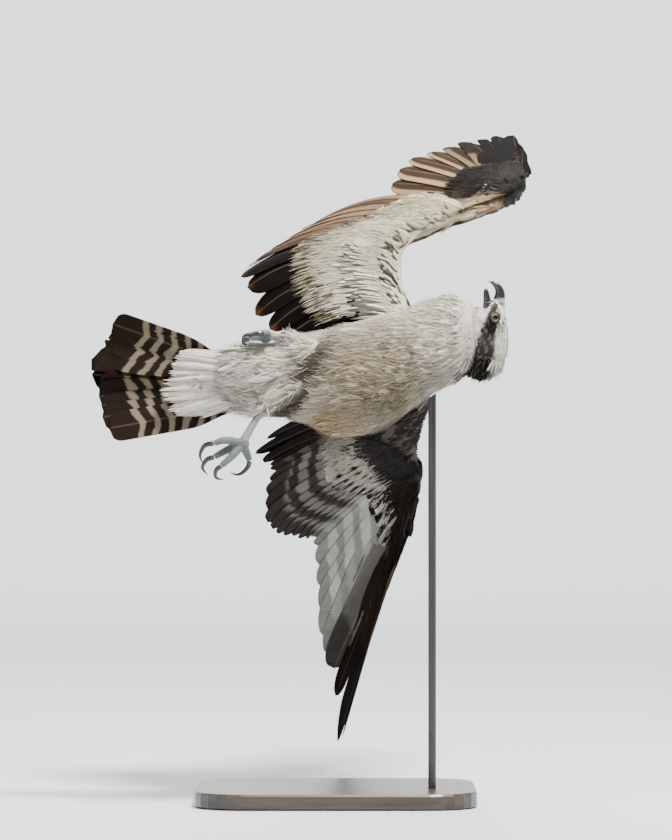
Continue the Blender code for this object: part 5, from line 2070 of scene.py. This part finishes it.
class Legs:
    """Bare legs, toes and claws."""

    TOES = {
        "left": (
            ((-137, -25, -72), (-152, -29, -75), (-164, -32, -75), (-170, -44, -73),
             (-166, -56, -70)),
            ((-137, -38, -62), (-152, -46, -62), (-162, -50, -61), (-167, -60, -60),
             (-160, -69, -59)),
            ((-130, -45, -72), (-143, -57, -75), (-150, -63, -75), (-150, -72, -73),
             (-140, -75, -71)),
            ((-112, -41, -54), (-108, -51, -53), (-111, -60, -52), (-121, -68, -53),
             (-134, -66, -55)),
        ),
        "right": (
            ((-96, 108, -18), (-106, 107, -17), (-113, 105, -16), (-116, 101, -16),
             (-112, 97, -16)),
            ((-97, 104, -23), (-107, 102, -24), (-114, 100, -24), (-116, 96, -24),
             (-111, 93, -24)),
            ((-97, 105, -10), (-107, 104, -8), (-114, 102, -7), (-116, 97, -6),
             (-111, 94, -6)),
            ((-86, 108, -27), (-92, 108, -32), (-99, 108, -34), (-105, 106, -35),
             (-108, 102, -34)),
        ),
    }
    SHANKS = {
        "left": ((-90, 18, -56), (-112, -20, -62), (-117, -30, -62)),
        "right": ((-58, 101, -20), (-80, 105, -16), (-88, 105, -15)),
    }

    def build(self, shades: Shades) -> None:
        """Make both legs."""
        skin = shades.scales("shank_scales", (0.27, 0.28, 0.27), (0.10, 0.10, 0.10),
                             (0.62, 0.63, 0.60))
        toes = shades.scales("toe_scales", (0.085, 0.10, 0.11), (0.03, 0.035, 0.04),
                             (0.32, 0.36, 0.38))
        for side, shank in self.SHANKS.items():
            knee, ankle, foot = (seen(*p) for p in shank)
            name = "leg_" + side
            bar = Modeller.bar(name + "_shank", [knee, 0.5 * (knee + ankle), ankle, foot],
                               (6.0, 4.6, 5.2, 5.6), 18, fine=6)
            Modeller.finished(bar, skin, "leg_scales", (name + "_tarsus",), 1)
            forms = [Modeller.ball("pad", foot, (8.8, 7.8, 8.8))]
            for number, toe in enumerate(self.TOES[side]):
                bend, end, hook, crook, point = (seen(*p) for p in toe)
                forms.append(Modeller.bar("toe", [foot, bend, end], (5.8, 4.9, 3.7), 16))
                along = unit(end - bend)
                start = end + along * 0.34
                claw = Modeller.bar(
                    "talon_" + side + "_" + str(number + 1),
                    [start, hook, crook, point], (3.4, 3.0, 2.0, 0.3), 14, fine=6,
                )
                black = shades.horn("talon_horn", (0.012, 0.012, 0.014),
                                    (0.05, 0.05, 0.05), start, 5.0)
                Modeller.finished(claw, black, "claw",
                                  ("claw_" + side + "_" + str(number + 1),), 1)
            foot = Modeller.fused(name + "_toes", forms, 0.9, 2)
            Modeller.finished(foot, toes, "leg_scales", (name + "_foot",))


class Studio:
    """Camera, floor and soft light."""

    FLOOR_SIZE = 28.0
    WALL_HEIGHT = 9.0
    WALL_CURVE = 3.0
    # Name, place, Y that it looks at, size and power; the first lights the wall
    LAMPS = (
        ("wall", (0.0, 6.5, 8.0), 13.0, 5.0, 1400.0),
        ("key", (0.9, -0.85, 3.4), 0.1, 0.8, 370.0),
        ("fill", (-2.6, -3.4, 1.0), 0.1, 2.6, 42.0),
        ("back", (-0.6, 2.4, 2.6), 0.1, 1.6, 60.0),
    )

    def build(self, shades: Shades) -> None:
        """Place the camera, the floor and the lights."""
        self.camera()
        self.backdrop(shades.floor("floor_pale"))
        world = bpy.data.worlds.new("studio")
        bpy.context.scene.world = world
        world.use_nodes = True
        sky = world.node_tree.nodes["Background"]
        sky.inputs["Color"].default_value = (0.90, 0.94, 1.0, 1.0)
        sky.inputs["Strength"].default_value = 0.42
        for name, place, ahead, size, power in self.LAMPS:
            lamp = bpy.data.lights.new(name, "AREA")
            lamp.shape = "DISK"
            lamp.size = size
            lamp.energy = power
            lamp.color = (1.0, 0.965, 0.90)
            light = bpy.data.objects.new(name, lamp)
            light.location = place
            aim = Vector((0.0, ahead, 0.5)) - Vector(place)
            light.rotation_euler = aim.to_track_quat("-Z", "Y").to_euler()
            bpy.context.scene.collection.objects.link(light)

    @staticmethod
    def camera() -> None:
        """Place the camera at the photograph's viewing angle."""
        lens = bpy.data.cameras.new("camera")
        lens.sensor_width = SENSOR
        lens.lens = SENSOR * (VIEW_DISTANCE * MM) / FRAME_HEIGHT
        lens.clip_end = 50.0
        camera = bpy.data.objects.new("camera", lens)
        camera.location = (0.0, (BODY_BACK - VIEW_DISTANCE) * MM, BODY_HEIGHT * MM)
        camera.rotation_euler = (math.radians(90.0), 0.0, 0.0)
        bpy.context.scene.collection.objects.link(camera)
        bpy.context.scene.camera = camera

    @staticmethod
    def pick_edges(floor: Piece, test: Callable[[Vector], bool]) -> None:
        """Select the edges of the open floor whose ends both pass a test."""
        shape = bmesh.from_edit_mesh(floor.data)
        for edge in shape.edges:
            edge.select_set(all(test(v.co) for v in edge.verts))
        bmesh.update_edit_mesh(floor.data)

    def backdrop(self, material: Material) -> None:
        """Floor that curves up into a wall behind the bird.

        Args:
            material: Finish of both.
        """
        Modeller.clear()
        bpy.ops.mesh.primitive_plane_add(size=self.FLOOR_SIZE, location=(0.0, -3.0, 0.0))
        floor = bpy.context.object
        floor.name = "floor"
        bpy.ops.object.transform_apply(location=True)
        bpy.ops.object.mode_set(mode="EDIT")
        bpy.ops.mesh.select_mode(type="EDGE")
        self.pick_edges(floor, lambda place: place.y > 4.0)
        rise = {"value": (0.0, 0.0, self.WALL_HEIGHT)}
        bpy.ops.mesh.extrude_region_move(TRANSFORM_OT_translate=rise)
        self.pick_edges(floor, lambda place: place.y > 4.0 and place.z < 0.1)
        bpy.ops.mesh.bevel(offset=self.WALL_CURVE, segments=24)
        bpy.ops.mesh.select_all(action="SELECT")
        bpy.ops.object.mode_set(mode="OBJECT")
        bpy.ops.object.shade_smooth()
        floor.data.materials.append(material)


def dress_skin(skin: Piece, coat: CoatBuilder) -> None:
    """Paint the skin with the coat's own colours."""
    mesh = skin.data
    places = read_all(mesh.vertices, "co", 3) / MM
    colour = coat.survey(places, read_all(mesh.vertices, "normal", 3))["colour"]
    layer = mesh.attributes.new("Ground", "FLOAT_COLOR", "POINT")
    values = np.concatenate((colour, np.ones((len(colour), 1))), axis=1)
    layer.data.foreach_set("color", values.astype(np.float32).ravel())


def main() -> None:
    """Build the whole bird and its stand."""
    logging.basicConfig(level=logging.INFO, format="%(name)s %(message)s")
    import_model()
    shades = Shades()
    inner = Sheet(RIGHT_INNER_KEYS, (0.0, 10.0, 28.0))
    outer = Sheet(RIGHT_OUTER_KEYS, (0.0, 6.0, 3.0))
    left_sheet = Sheet(LEFT_KEYS, (0.0, 8.0, 6.0))
    right = Wing(Feathering.RIGHT, RIGHT_LOOK, ((inner, -1, 11), (outer, 12, 25)), 3)
    left = Wing(Feathering.LEFT, LEFT_LOOK, ((left_sheet, -1, 25),), 4)
    coat = CoatBuilder((right, left), Markings())
    spans = {
        "right": [(inner, -2.0, 12.0), (outer, 12.0, WRIST), (outer, WRIST, 26.0)],
        "left": [(left_sheet, -2.0, WRIST), (left_sheet, WRIST, 26.0)],
    }
    skin = Body().build_skin(spans, shades)
    dress_skin(skin, coat)
    nodes = ["torso", "neck", "head", "tail", "leg_left_thigh", "leg_right_thigh",
             "wing_left_arm", "wing_left_hand", "wing_right_arm", "wing_right_hand"]
    Modeller.finished(skin, shades.skin("skin_under_coat"), "belly_plumage", nodes)
    plumage = shades.plumage("plumage", 0.7, 0.00008, 0.08)
    vanes = shades.plumage("flight_vanes", 0.8, 0.00012, 0.02)
    coat.build(skin, plumage)
    for wing in (right, left):
        wing.flight().build(vanes, "wing_feathers")
        wing.coverts().build(plumage, "wing_feathers")
        wing.down().build(plumage, "wing_feathers")
    tail = Tail()
    tail.build().build(vanes, "tail_feathers")
    tail.coverts().build(plumage, "tail_feathers")
    Head().build(shades)
    Legs().build(shades)
    for name, material in (("stand_base", shades.wood("stand_board")),
                           ("stand_rod", shades.metal("stand_paint"))):
        node = bpy.data.objects[name]
        node.data.materials.clear()
        node.data.materials.append(material)
    Studio().build(shades)


if __name__ == "__main__":
    main()
